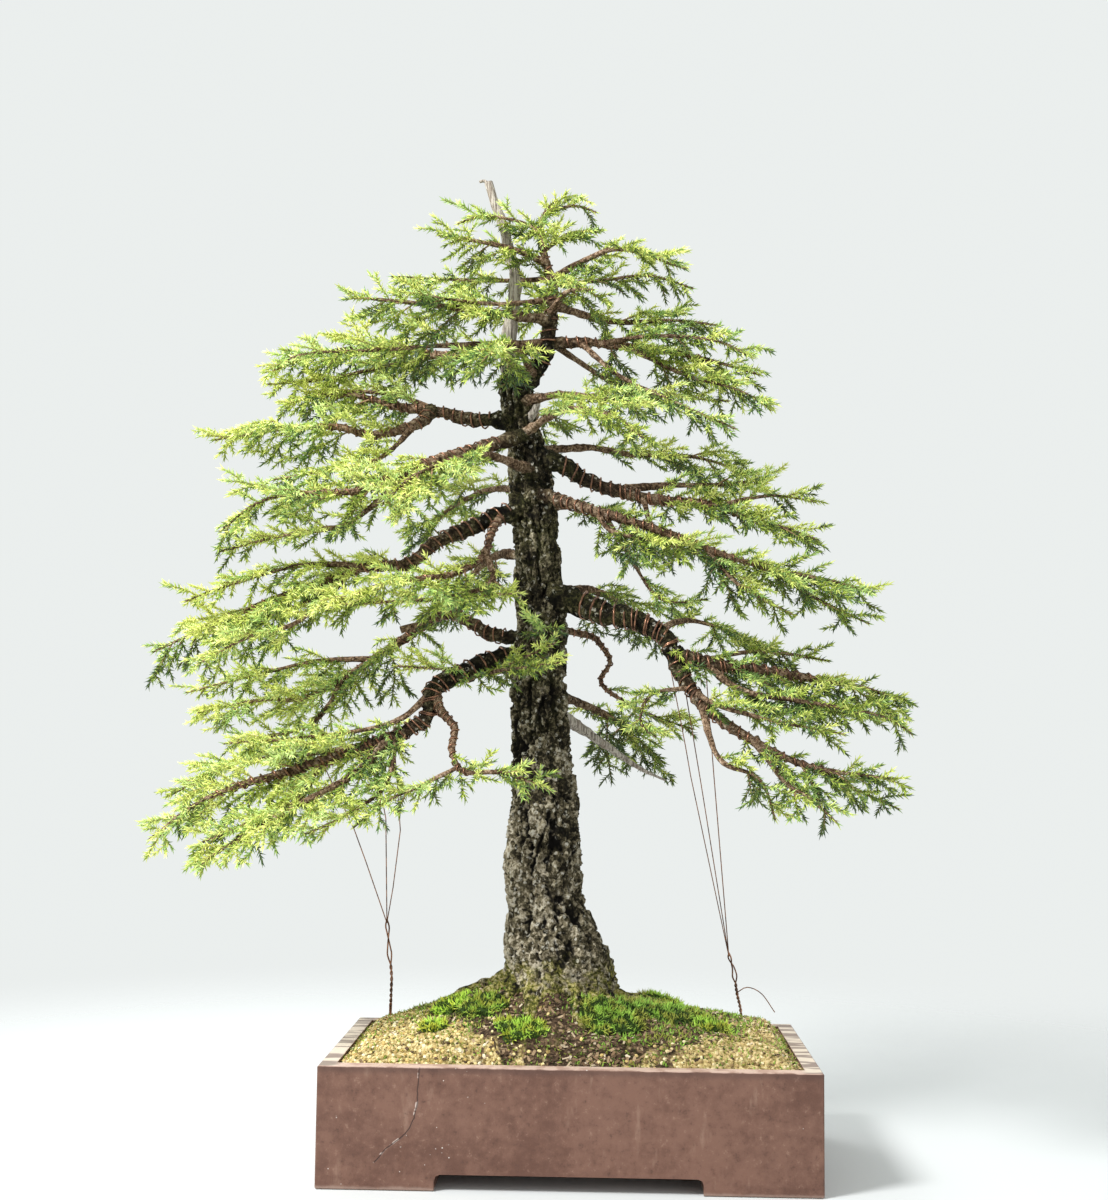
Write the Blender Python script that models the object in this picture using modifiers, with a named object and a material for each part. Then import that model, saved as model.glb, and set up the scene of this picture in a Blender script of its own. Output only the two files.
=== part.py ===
"""Norway spruce bonsai in a rectangular stoneware tray, as separate solids at real size.

Metres, +Z up, the front of the tray facing -Y. The tree is written round the middle of the tray, and a last
step moves everything so that the origin is the bottom centre of the whole object.
"""

import cmath
import math
import random
from collections import namedtuple

import bmesh
import bpy
import numpy as np
from mathutils import Matrix, Vector, noise
from mathutils.bvhtree import BVHTree

SEED = 23
GAP = 0.0003
SNAP = 0.008
SMALLEST = 1e-5

# The pot
POT_WIDTH = 0.500
POT_DEPTH = 0.280
POT_HEIGHT = 0.119
POT_WALL = 0.017
POT_FLOOR = 0.015
POT_EDGE = 0.0012
FOOT_HEIGHT = 0.016
FRONT_ARCH = 0.265
SIDE_ARCH = 0.120
ARCH_CORNER = 0.006
DRAIN_RADIUS = 0.014
DRAIN_PLACES = ((-0.115, 0.0), (0.115, 0.0))
TIE_HOLE_RADIUS = 0.003
TIE_HOLE_PLACES = ((-0.06, -0.07), (0.06, -0.07), (-0.06, 0.07), (0.06, 0.07))

# The soil, heaped round the root base
SOIL_RIM = 0.1150
SOIL_HEAP = 0.0760
HEAP_MIDDLE = (-0.008, 0.006)
HEAP_REACH = (0.140, 0.105)
HEAP_SHAPE = 2.2
HEAP_FADE = 0.060
SOIL_CELLS = (14, 8)
SOIL_LUMP = 0.035
SOIL_LUMP_HEIGHT = 0.0035

# The trunk's foot, in its plain hole
FOOT_BOTTOM = 0.150
FOOT_HOLE_RADIUS = 0.0645
FOOT_HOLE_SIDES = 20

# The trunk: the place and radius of its axis, from the foot to the fork of the two leaders
TRUNK = (
    (-0.011, 0.000, FOOT_BOTTOM + GAP, 0.0590),
    (-0.011, 0.000, 0.183, 0.0600),
    (-0.014, 0.000, 0.206, 0.0585),
    (-0.021, 0.000, 0.231, 0.0535),
    (-0.030, 0.001, 0.266, 0.0445),
    (-0.034, 0.002, 0.302, 0.0415),
    (-0.033, 0.002, 0.345, 0.0385),
    (-0.034, 0.003, 0.377, 0.0365),
    (-0.037, 0.003, 0.426, 0.0330),
    (-0.039, 0.003, 0.476, 0.0310),
    (-0.040, 0.002, 0.520, 0.0295),
    (-0.038, 0.001, 0.568, 0.0280),
    (-0.041, 0.000, 0.612, 0.0260),
    (-0.044, 0.000, 0.646, 0.0245),
    (-0.047, 0.000, 0.685, 0.0245),
    (-0.052, 0.001, 0.727, 0.0240),
    (-0.057, 0.001, 0.765, 0.0200),
    (-0.066, 0.001, 0.800, 0.0175),
    (-0.070, 0.000, 0.832, 0.0190),
    (-0.070, 0.000, 0.852, 0.0140),
)
TRUNK_SIDES = 14
TRUNK_ROOM = 0.027
BARK_PLATE = 0.022
BARK_DEPTH = 0.0030
ROOT_RIBS = 6
ROOT_RIB_DEPTH = 0.09
ROOT_RIB_TURN = 0.8
ROOT_RIB_FOOT = (0.19, 0.02)
ROOT_RIB_TOP = (0.30, 0.12)

# Bare dead wood: the grey leader, the low stub and the bark stub near the fork
DEAD_WOOD = (
    (((-0.074, 0.010, 0.826), (-0.079, 0.014, 0.882), (-0.072, 0.014, 0.957), (-0.079, 0.012, 0.987),
      (-0.085, 0.010, 1.015), (-0.095, 0.010, 1.042), (-0.104, 0.010, 1.071)), 0.0105, 0.0032),
    (((-0.1035, 0.010, 1.0685), (-0.108, 0.010, 1.0735), (-0.114, 0.009, 1.0715)), 0.0026, 0.0014),
    (((-0.020, 0.010, 0.472), (0.005, 0.045, 0.456), (0.031, 0.055, 0.439), (0.070, 0.075, 0.413),
      (0.102, 0.090, 0.398)), 0.0090, 0.0012),
    (((-0.058, -0.004, 0.792), (-0.046, -0.016, 0.806), (-0.044, -0.022, 0.822)), 0.0060, 0.0030),
)

# Living branches. Each route ends at the furthest needle, thick and thin are its radii at the trunk and where
# its leafy end starts, twigs is how many side twigs it carries, reach is how far they stand out, and leafy is
# the share of its length where its leafy bough takes over from bare wood.
Branch = namedtuple("Branch", "name route thick thin twigs reach leafy", defaults=(0.48,))
BRANCHES = (
    Branch("leader", ((-0.068, -0.002, 0.826), (-0.050, -0.006, 0.850), (-0.037, -0.008, 0.870),
                      (-0.031, -0.008, 0.908), (-0.029, -0.006, 0.943), (-0.039, -0.004, 0.983),
                      (-0.043, -0.004, 1.022), (-0.022, -0.006, 1.050)), 0.0135, 0.0030, 0, 0.0),
    Branch("lower_left", ((-0.045, -0.005, 0.530), (-0.089, -0.020, 0.526), (-0.149, -0.040, 0.497),
                          (-0.161, -0.048, 0.461), (-0.238, -0.055, 0.427), (-0.293, -0.060, 0.409),
                          (-0.386, -0.060, 0.378), (-0.456, -0.051, 0.328)), 0.0140, 0.0026, 4, 0.130),
    Branch("lower_left_drop", ((-0.149, -0.040, 0.495), (-0.143, -0.055, 0.474), (-0.125, -0.072, 0.455),
                               (-0.126, -0.086, 0.430), (-0.112, -0.098, 0.409), (-0.070, -0.105, 0.408),
                               (-0.014, -0.098, 0.388)), 0.0055, 0.0020, 0, 0.0),
    Branch("lower_left_low", ((-0.193, -0.051, 0.446), (-0.222, -0.080, 0.410), (-0.276, -0.108, 0.376),
                              (-0.334, -0.122, 0.342), (-0.386, -0.125, 0.306)), 0.0058, 0.0020, 0, 0.0),
    Branch("second_left", ((-0.045, 0.010, 0.553), (-0.096, 0.030, 0.560), (-0.147, 0.050, 0.584),
                           (-0.203, 0.070, 0.552), (-0.259, 0.085, 0.517), (-0.312, 0.092, 0.488),
                           (-0.365, 0.090, 0.485), (-0.440, 0.072, 0.468)), 0.0090, 0.0024, 3, 0.115),
    Branch("third_left", ((-0.050, -0.010, 0.702), (-0.105, -0.025, 0.676), (-0.150, -0.040, 0.654),
                          (-0.180, -0.045, 0.630), (-0.225, -0.050, 0.626), (-0.265, -0.050, 0.611),
                          (-0.332, -0.045, 0.587), (-0.397, -0.035, 0.561), (-0.466, -0.026, 0.530)),
           0.0110, 0.0024, 3, 0.120),
    Branch("third_left_front", ((-0.080, -0.018, 0.690), (-0.092, -0.040, 0.664), (-0.098, -0.062, 0.636),
                                (-0.130, -0.100, 0.612), (-0.190, -0.130, 0.601), (-0.262, -0.140, 0.572)),
           0.0050, 0.0020, 1, 0.090),
    Branch("fourth_left", ((-0.070, 0.000, 0.796), (-0.120, 0.010, 0.798), (-0.150, 0.015, 0.807),
                           (-0.204, 0.025, 0.816), (-0.262, 0.040, 0.832), (-0.330, 0.045, 0.826)),
           0.0100, 0.0022, 1, 0.100),
    Branch("fourth_left_low", ((-0.165, 0.014, 0.808), (-0.180, -0.004, 0.789), (-0.228, -0.012, 0.776),
                               (-0.264, -0.020, 0.783), (-0.330, -0.020, 0.780), (-0.412, -0.011, 0.768)),
           0.0070, 0.0022, 2, 0.095),
    Branch("fifth_left", ((-0.060, -0.015, 0.775), (-0.109, -0.050, 0.754), (-0.167, -0.080, 0.730),
                          (-0.223, -0.095, 0.702), (-0.268, -0.098, 0.698), (-0.330, -0.092, 0.690),
                          (-0.382, -0.082, 0.654)), 0.0080, 0.0022, 2, 0.105),
    Branch("sixth_left", ((-0.038, 0.010, 0.880), (-0.108, 0.035, 0.882), (-0.140, 0.042, 0.878),
                          (-0.220, 0.048, 0.887), (-0.290, 0.045, 0.883), (-0.356, 0.035, 0.856)),
           0.0075, 0.0022, 1, 0.105),
    Branch("seventh_left", ((-0.033, -0.014, 0.905), (-0.106, -0.045, 0.907), (-0.170, -0.062, 0.910),
                            (-0.208, -0.062, 0.914), (-0.254, -0.052, 0.921)), 0.0065, 0.0022, 1, 0.095),
    Branch("top_left", ((-0.036, -0.006, 0.972), (-0.070, -0.022, 0.982), (-0.108, -0.032, 0.988),
                        (-0.162, -0.030, 0.997)), 0.0045, 0.0018, 1, 0.075),
    Branch("lower_right", ((-0.030, -0.010, 0.600), (0.005, -0.020, 0.590), (0.033, -0.030, 0.578),
                           (0.069, -0.036, 0.570), (0.097, -0.042, 0.553), (0.106, -0.046, 0.536),
                           (0.142, -0.050, 0.525), (0.192, -0.052, 0.519), (0.232, -0.048, 0.513),
                           (0.300, -0.042, 0.502), (0.357, -0.037, 0.486)), 0.0155, 0.0024, 2, 0.115),
    Branch("lower_right_back", ((0.088, -0.038, 0.560), (0.116, 0.000, 0.574), (0.155, 0.040, 0.571),
                                (0.229, 0.070, 0.545)), 0.0042, 0.0018, 1, 0.085),
    Branch("lower_right_mid", ((0.104, -0.045, 0.540), (0.115, -0.052, 0.510), (0.138, -0.070, 0.478),
                               (0.170, -0.086, 0.453), (0.220, -0.096, 0.426), (0.262, -0.098, 0.414),
                               (0.338, -0.091, 0.406)), 0.0095, 0.0022, 1, 0.090, 0.56),
    Branch("lower_right_drop", ((0.134, -0.066, 0.484), (0.140, -0.098, 0.446), (0.153, -0.118, 0.421),
                                (0.189, -0.128, 0.404), (0.206, -0.125, 0.358)), 0.0048, 0.0018, 0, 0.0),
    Branch("lower_right_low", ((0.186, -0.089, 0.446), (0.215, -0.118, 0.402), (0.236, -0.138, 0.388),
                               (0.270, -0.142, 0.357)), 0.0045, 0.0018, 0, 0.0),
    Branch("thin_right", ((-0.030, 0.020, 0.566), (0.015, 0.042, 0.559), (0.025, 0.045, 0.552),
                          (0.038, 0.050, 0.531), (0.027, 0.056, 0.509), (0.048, 0.062, 0.490),
                          (0.090, 0.080, 0.470), (0.140, 0.110, 0.455)), 0.0045, 0.0020, 0, 0.0),
    Branch("third_right", ((-0.045, 0.000, 0.752), (-0.015, 0.000, 0.744), (0.014, 0.005, 0.727),
                           (0.061, 0.000, 0.713), (0.087, -0.010, 0.706), (0.140, -0.018, 0.700),
                           (0.202, -0.028, 0.680), (0.236, -0.030, 0.669), (0.267, -0.030, 0.658)),
           0.0110, 0.0022, 2, 0.105),
    Branch("third_right_high", ((0.042, 0.004, 0.718), (0.098, 0.030, 0.728), (0.169, 0.044, 0.732),
                                (0.231, 0.047, 0.743)), 0.0060, 0.0020, 0, 0.0),
    Branch("third_right_back", ((-0.056, 0.006, 0.762), (0.013, 0.060, 0.776), (0.060, 0.092, 0.774),
                                (0.137, 0.118, 0.776), (0.215, 0.122, 0.752)), 0.0060, 0.0020, 1, 0.085),
    Branch("fourth_right", ((-0.045, -0.016, 0.712), (0.002, -0.060, 0.691), (0.037, -0.078, 0.679),
                            (0.089, -0.092, 0.661), (0.155, -0.098, 0.635), (0.208, -0.098, 0.620),
                            (0.265, -0.092, 0.610), (0.319, -0.082, 0.597)), 0.0075, 0.0022, 2, 0.095),
    Branch("middle_right", ((-0.058, -0.010, 0.815), (-0.020, -0.045, 0.815), (0.020, -0.070, 0.806),
                            (0.090, -0.090, 0.796)), 0.0060, 0.0020, 0, 0.0),
    Branch("fifth_right", ((-0.036, -0.004, 0.882), (0.014, -0.010, 0.881), (0.056, -0.018, 0.874),
                           (0.100, -0.024, 0.868), (0.150, -0.026, 0.856), (0.207, -0.023, 0.840)),
           0.0070, 0.0020, 1, 0.090),
    Branch("sixth_right", ((-0.031, -0.006, 0.925), (0.020, 0.032, 0.919), (0.056, 0.044, 0.918),
                           (0.110, 0.050, 0.922), (0.168, 0.046, 0.914)), 0.0055, 0.0020, 0, 0.0),
    Branch("seventh_right", ((-0.031, -0.010, 0.952), (0.010, -0.030, 0.970), (0.050, -0.038, 0.978),
                             (0.124, -0.036, 0.954)), 0.0045, 0.0018, 0, 0.0),
    Branch("top_right", ((-0.039, -0.004, 0.988), (-0.010, 0.006, 1.010), (0.029, 0.008, 1.012)),
           0.0032, 0.0016, 0, 0.0),
    Branch("back_low", ((-0.034, 0.020, 0.492), (0.000, 0.080, 0.486), (0.050, 0.160, 0.462),
                        (0.085, 0.265, 0.420)), 0.0080, 0.0020, 1, 0.100),
    Branch("back_left", ((-0.045, 0.016, 0.640), (-0.090, 0.090, 0.656), (-0.130, 0.180, 0.640),
                         (-0.175, 0.285, 0.590)), 0.0080, 0.0020, 1, 0.100),
    Branch("back_right", ((-0.038, 0.016, 0.600), (0.010, 0.090, 0.616), (0.060, 0.180, 0.602),
                          (0.105, 0.270, 0.560)), 0.0075, 0.0020, 1, 0.100),
    Branch("back_high", ((-0.060, 0.012, 0.800), (-0.050, 0.080, 0.818), (-0.060, 0.150, 0.812),
                         (-0.045, 0.225, 0.780)), 0.0060, 0.0020, 1, 0.085),
    Branch("back_top", ((-0.030, -0.006, 0.938), (-0.040, 0.060, 0.950), (-0.050, 0.130, 0.940)),
           0.0042, 0.0018, 0, 0.0),
    Branch("back_mid_left", ((-0.045, 0.012, 0.715), (-0.100, 0.090, 0.732), (-0.160, 0.160, 0.716),
                             (-0.200, 0.232, 0.680)), 0.0060, 0.0020, 0, 0.0),
    Branch("back_mid_right", ((-0.045, 0.012, 0.700), (0.000, 0.090, 0.712), (0.060, 0.165, 0.702),
                              (0.100, 0.240, 0.665)), 0.0060, 0.0020, 1, 0.085),
    Branch("front_left", ((-0.052, -0.014, 0.738), (-0.100, -0.100, 0.738), (-0.155, -0.185, 0.704),
                          (-0.185, -0.250, 0.660)), 0.0060, 0.0020, 1, 0.085),
    Branch("front_right", ((-0.060, -0.010, 0.780), (-0.012, -0.100, 0.786), (0.036, -0.180, 0.765),
                           (0.070, -0.240, 0.728)), 0.0055, 0.0020, 0, 0.0),
    Branch("front_small", ((-0.038, 0.000, 0.558), (-0.036, -0.106, 0.562)), 0.0026, 0.0018, 0, 0.0),
    Branch("front_high", ((-0.052, -0.012, 0.845), (-0.060, -0.080, 0.852), (-0.080, -0.150, 0.842),
                          (-0.085, -0.215, 0.815)), 0.0055, 0.0020, 1, 0.080),
    Branch("front_top", ((-0.031, -0.012, 0.915), (-0.010, -0.060, 0.925), (0.020, -0.135, 0.905)),
           0.0042, 0.0018, 0, 0.0),
)
BRANCH_SIDES = 6
TWIG_SIDES = 4
WOOD_TAPER = 0.8

# Side twigs, set along each branch by a rule. Those past the leafy start grow from the leafy bough itself.
TWIG_FIRST = 0.36
TWIG_LAST = 0.84
TWIG_ANGLE = math.radians(58)
TWIG_LIFT = 0.10
TWIG_DROP = 0.22
TWIG_TAPER = 0.35
TWIG_SWAY = 0.12
TWIG_BEND = 0.25
ELBOW = 0.55
TWIG_ROOT_RADIUS = 0.0034
TWIG_END_RADIUS = 0.0018

# Sprays: a slim core with whorls of needles, in steps of one stretch and one short ring
TIP_STEPS = 4
TWIG_STEPS = 3
SHOOT_STEPS = 2
TIP_SHOOTS = (0, 1, 2)
TWIG_SHOOTS = (1,)
CORE_SIDES = 3
CORE_TWIST = math.radians(40)
CORE_TAPER = 0.7
STRETCH = 0.0145
RING = 0.0018
CORE_RADIUS = 0.0011
SHOOT_RADIUS = 0.0009
SHOOT_ANGLE = math.radians(52)
SHOOT_TILTS = (0.0, 14.0, -14.0, 28.0, -28.0)
BEND_TILTS = (0.0, 8.0, -8.0, 16.0, -16.0, 26.0, -26.0, 38.0)
NEEDLE_LENGTH = 0.0088
NEEDLE_LEAN = math.radians(42)
NEEDLE_ROOM = 0.0014
NEEDLE_RADIUS = 0.0004
NEEDLE_FOOT = 0.002
SPRAY_ROOM = 0.0165
WOOD_ROOM = 0.0080

# Copper wire
GUY_RADIUS = 0.0014
STRAND_RADIUS = 0.0008
COIL_WIRE_RADIUS = 0.0012
GUY_SIDES = 6
WIRE_SIDES = 4
COIL_ROOM = 0.0007
COIL_POINTS = 6
COIL_PASSES = 24
HOOK_START = -0.75 * math.pi
HOOK_TURN = 1.5 * math.pi
HOOK_POINTS = 6
STRAND_OVERLAP = 0.003
GUY_HOLE_RADIUS = 0.0024
GUY_HOLE_DEPTH = 0.018
LEFT_GUY = ((-0.207, 0.085, 0.112), (-0.207, 0.085, 0.136), (-0.205, 0.072, 0.161), (-0.204, 0.064, 0.180),
            (-0.206, 0.052, 0.212), (-0.207, 0.040, 0.243))
RIGHT_GUY = ((0.189, 0.104, 0.112), (0.189, 0.104, 0.138), (0.184, 0.098, 0.160), (0.180, 0.092, 0.186),
             (0.176, 0.088, 0.196), (0.174, 0.085, 0.206))
# Each strand: the branch that it holds, how far along that branch, and the points on its way there
LEFT_STRANDS = (
    ("lower_left", 0.450, ((-0.204, -0.008, 0.356),)),
    ("lower_left", 0.560, ((-0.227, 0.010, 0.307), (-0.238, -0.012, 0.345))),
)
RIGHT_STRANDS = (
    ("lower_right_mid", 0.175, ((0.138, 0.010, 0.395),)),
    ("lower_right", 0.470, ((0.152, 0.014, 0.405),)),
)
# Each coil: its branch and the stretch of it that the wire covers, as shares of its length, and its turns
COILS = (
    ("coil_lower_right", "lower_right", 0.090, 0.200, 5),
    ("coil_lower_left", "lower_left", 0.085, 0.165, 4),
)

# Moss cushions, half sunk in the soil: place and half sizes
MOSS_RISE = 0.15
MOSS_LUMP = 0.10
MOSS_SEAT = 1.5
MOSS = (
    ("moss_front_left", (-0.092, -0.050), (0.025, 0.020, 0.011)),
    ("moss_front", (-0.050, -0.092), (0.026, 0.016, 0.008)),
    ("moss_front_right", (0.040, -0.070), (0.036, 0.023, 0.013)),
)

# Colour, roughness and metallic value of each kind of piece
FINISHES = {
    "stoneware": ((0.200, 0.098, 0.072), 0.78, 0.0),
    "soil": ((0.420, 0.330, 0.170), 0.95, 0.0),
    "bark": ((0.060, 0.048, 0.038), 0.92, 0.0),
    "needles": ((0.160, 0.330, 0.050), 0.55, 0.0),
    "moss": ((0.140, 0.270, 0.035), 0.95, 0.0),
    "copper": ((0.560, 0.250, 0.130), 0.35, 1.0),
}


# Scene and collections

def clear_scene():
    for old in list(bpy.data.objects):
        bpy.data.objects.remove(old, do_unlink=True)


def new_collection(name, hidden=False):
    group = bpy.data.collections.new(name)
    bpy.context.scene.collection.children.link(group)
    group.hide_render = hidden
    return group


def finish_material(name):
    colour, roughness, metallic = FINISHES[name]
    material = bpy.data.materials.new(name)
    material.use_nodes = True
    shader = material.node_tree.nodes["Principled BSDF"]
    shader.inputs["Base Color"].default_value = (*colour, 1.0)
    shader.inputs["Roughness"].default_value = roughness
    shader.inputs["Metallic"].default_value = metallic
    return material


def piece(name, mesh, material, parts):
    mesh.materials.clear()
    mesh.materials.append(material)
    new = bpy.data.objects.new(name, mesh)
    parts.objects.link(new)
    return new


def cutter(name, mesh, cutters):
    new = bpy.data.objects.new(name, mesh)
    cutters.objects.link(new)
    new.hide_render = True
    new.display_type = "WIRE"
    return new


def boolean(target, operation, other, solver="EXACT"):
    modifier = target.modifiers.new(operation.title(), "BOOLEAN")
    modifier.operation = operation
    modifier.solver = solver
    if isinstance(other, bpy.types.Collection):
        modifier.operand_type = "COLLECTION"
        modifier.collection = other
    else:
        modifier.object = other
    return modifier


def apply_modifiers(target):
    graph = bpy.context.evaluated_depsgraph_get()
    made = bpy.data.meshes.new_from_object(target.evaluated_get(graph))
    target.modifiers.clear()
    target.data = made


# Meshes from primitives and curves

def block_mesh(name, low, high):
    """A box between two corners."""
    bm = bmesh.new()
    bmesh.ops.create_cube(bm, size=1.0)
    low, high = Vector(low), Vector(high)
    size = high - low
    bmesh.ops.scale(bm, vec=size, verts=bm.verts)
    bmesh.ops.translate(bm, vec=(low + high) / 2, verts=bm.verts)
    mesh = bpy.data.meshes.new(name)
    bm.to_mesh(mesh)
    bm.free()
    return mesh


def drum_mesh(name, place, radius, bottom, top, sides):
    """An upright cylinder."""
    bm = bmesh.new()
    bmesh.ops.create_cone(bm, cap_ends=True, segments=sides, radius1=radius, radius2=radius, depth=top - bottom)
    bmesh.ops.translate(bm, vec=(place[0], place[1], (bottom + top) / 2), verts=bm.verts)
    mesh = bpy.data.meshes.new(name)
    bm.to_mesh(mesh)
    bm.free()
    return mesh


def tube_mesh(name, points, radii, sides):
    """A closed tapered tube along a polyline: a bevelled curve with filled caps, made a mesh and welded."""
    curve = bpy.data.curves.new(name, "CURVE")
    curve.dimensions = "3D"
    curve.bevel_depth = 1.0
    curve.bevel_resolution = (sides - 4) // 2
    curve.use_fill_caps = True
    spline = curve.splines.new("POLY")
    spline.points.add(len(points) - 1)
    for place, point, radius in zip(spline.points, points, radii):
        place.co = (*point, 1.0)
        place.radius = radius
    guide = bpy.data.objects.new(name, curve)
    bpy.context.scene.collection.objects.link(guide)
    graph = bpy.context.evaluated_depsgraph_get()
    mesh = bpy.data.meshes.new_from_object(guide.evaluated_get(graph))
    bpy.data.objects.remove(guide, do_unlink=True)
    bm = bmesh.new()
    bm.from_mesh(mesh)
    bmesh.ops.remove_doubles(bm, verts=bm.verts, dist=1e-6)
    bmesh.ops.recalc_face_normals(bm, faces=bm.faces)
    bm.to_mesh(mesh)
    bm.free()
    return mesh


def fuse(target, meshes, cutters, solver):
    """Joins meshes to an object with one union on a collection, applied, and removes them again."""
    group = bpy.data.collections.new(target.name + "_joined")
    cutters.children.link(group)
    group.hide_render = True
    for number, mesh in enumerate(meshes):
        group.objects.link(bpy.data.objects.new(f"{target.name}_part_{number}", mesh))
    boolean(target, "UNION", group, solver)
    apply_modifiers(target)
    for joined in list(group.objects):
        bpy.data.objects.remove(joined, do_unlink=True)
    bpy.data.collections.remove(group)


# Routes: polylines measured along their length

def route_length(route):
    return sum((Vector(b) - Vector(a)).length for a, b in zip(route, route[1:]))


def along(route, distance):
    """The point at a distance along a route, and the heading there."""
    for a, b in zip(route, route[1:]):
        a, b = Vector(a), Vector(b)
        stretch = (b - a).length
        if distance <= stretch + SMALLEST or b == Vector(route[-1]):
            return a + (b - a) * (distance / stretch), (b - a) / stretch
        distance -= stretch
    return Vector(route[-1]), (Vector(route[-1]) - Vector(route[-2])).normalized()


def cut_short(route, length):
    """The points of a route up to a length, ending exactly there."""
    kept = [Vector(route[0])]
    walked = 0.0
    for a, b in zip(route, route[1:]):
        a, b = Vector(a), Vector(b)
        walked += (b - a).length
        if walked > length - SMALLEST:
            break
        kept.append(b)
    kept.append(along(route, length)[0])
    return kept


def snapped(route, distance):
    """The distance itself, or that of a corner of the route close by, so that no stretch is left too short."""
    walked = 0.0
    for a, b in zip(route, route[1:]):
        walked += (Vector(b) - Vector(a)).length
        if abs(walked - distance) < SNAP:
            return walked
    return distance


def tapered(points, thick, thin):
    """A radius for each point, from thick to thin in step with the length."""
    walked = [0.0]
    for a, b in zip(points, points[1:]):
        walked.append(walked[-1] + (b - a).length)
    return [thick + (thin - thick) * (done / walked[-1]) ** WOOD_TAPER for done in walked]


def turned(heading, angle, lift):
    """A heading turned about the vertical by an angle, then lifted or dropped."""
    flat = Vector((heading.x, heading.y, 0.0)).normalized()
    flat.rotate(Matrix.Rotation(angle, 3, "Z"))
    return (flat + Vector((0.0, 0.0, lift))).normalized()


def spray_length(steps):
    return steps * (STRETCH + RING)


# Clearance between the pieces of the crown

class Crown:
    """Every straight stretch of wood, wire, core and needle so far, to keep new ones clear of them."""

    def __init__(self):
        self.starts = []
        self.ends = []
        self.radii = []
        self.owners = []

    def add(self, points, radius, owner):
        for a, b in zip(points, points[1:]):
            self.starts.append(tuple(a))
            self.ends.append(tuple(b))
            self.radii.append(radius)
            self.owners.append(owner)

    def room(self, a, b, left_out, kinds=None):
        """The smallest gap from a stretch to the surfaces of all others but those left out."""
        wanted = [i for i, owner in enumerate(self.owners)
                  if owner not in left_out and (kinds is None or owner[0] in kinds)]
        if not wanted:
            return 1.0
        starts = np.array([self.starts[i] for i in wanted])
        spans = np.array([self.ends[i] for i in wanted]) - starts
        radii = np.array([self.radii[i] for i in wanted])
        squares = np.maximum((spans ** 2).sum(axis=1), 1e-12)
        nearest = 1.0
        for share in np.linspace(0.0, 1.0, 7):
            spot = np.array(a) * (1 - share) + np.array(b) * share
            reach = np.clip(((spot - starts) * spans).sum(axis=1) / squares, 0.0, 1.0)
            gaps = np.linalg.norm(spot - starts - spans * reach[:, None], axis=1) - radii
            nearest = min(nearest, gaps.min())
        return nearest


# The plan of the crown: wood, twigs and leafy stems as lists of points

Wood = namedtuple("Wood", "points radii sides owner")
Stem = namedtuple("Stem", "points radii bare shoots owner root")


def branch_named(name):
    return next(branch for branch in BRANCHES if branch.name == name)


def wood_length(branch):
    """How far the wood goes before the leafy bough starts."""
    length = route_length(branch.route)
    start = length - spray_length(TIP_STEPS)
    if branch.twigs:
        start = min(start, length * branch.leafy)
    return snapped(branch.route, start)


def plan_branch(branch, crown):
    """The wood of a branch, up to where its leafy bough starts."""
    points = cut_short(branch.route, wood_length(branch))
    radii = tapered(points, branch.thick, branch.thin)
    owner = ("wood", branch.name)
    for number in range(len(points) - 1):
        crown.add(points[number:number + 2], max(radii[number:number + 2]), owner)
    return Wood(points, radii, BRANCH_SIDES, owner)


def twig_places(branch):
    """How far along a branch each side twig starts."""
    length = route_length(branch.route)
    begun = wood_length(branch)
    steps = [(number + 0.5) / branch.twigs for number in range(branch.twigs)]
    places = [length * (TWIG_FIRST + (TWIG_LAST - TWIG_FIRST) * step) for step in steps]
    return [max(place, begun + STRETCH) if place > begun - TWIG_ROOT_RADIUS else place for place in places]


def plan_bough(branch, crown):
    """The leafy outer end of a branch: its core carries on where the wood stops, with a ring for each twig."""
    begun = wood_length(branch)
    end, heading = along(branch.route, begun)
    length = route_length(branch.route)
    leafy = [length - (TIP_STEPS - step) * (STRETCH + RING) for step in range(1, TIP_STEPS + 1)]
    twigs = [place for place in twig_places(branch) if begun < place < leafy[0] - RING]
    points = [end + heading * GAP] + [along(branch.route, place)[0] for place in twigs + leafy]
    shares = [(place - begun) / (length - begun) for place in [begun] + twigs + leafy]
    radii = [branch.thin + (CORE_RADIUS - branch.thin) * share ** CORE_TAPER for share in shares]
    owner = ("core", f"spray_{branch.name}")
    crown.add(points, CORE_RADIUS, owner)
    return Stem(points, radii, len(twigs), {}, owner, heading)


def bent_clear(start, heading, length, crown, own):
    """A heading tilted up or down until what grows along it stands clear of its neighbours."""
    best = None
    for tilt in BEND_TILTS:
        lifted = turned(heading, 0.0, math.tan(math.asin(heading.z) + math.radians(tilt)))
        near, far = start + lifted * STRETCH, start + lifted * length
        free = crown.room(near, far, own, ("wood", "wire")) - WOOD_ROOM
        apart = crown.room(near, far, own, ("core",)) - SPRAY_ROOM
        score = min(free, apart, 0.0)
        if best is None or score > best[0] + 1e-6:
            best = (score, lifted)
    return best[1]


def plan_twig(branch, number, place, side, crown, draw):
    """The way of one side twig: its root, its elbow, and the heading and length of its leafy end."""
    root, heading = along(branch.route, place)
    reach = branch.reach * (1.0 - TWIG_TAPER * number / max(branch.twigs - 1, 1))
    wood = reach - spray_length(TWIG_STEPS)
    out = turned(heading, side * (TWIG_ANGLE + draw.uniform(-TWIG_SWAY, TWIG_SWAY)), heading.z + TWIG_LIFT)
    elbow = root + out * (wood * ELBOW)
    onward = turned(out, -side * TWIG_BEND, -TWIG_DROP * draw.uniform(0.3, 1.0))
    own = (("wood", branch.name), ("core", f"spray_{branch.name}"))
    onward = bent_clear(elbow, onward, reach * 0.7, crown, own)
    return root, elbow, onward, wood * (1.0 - ELBOW)


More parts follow.
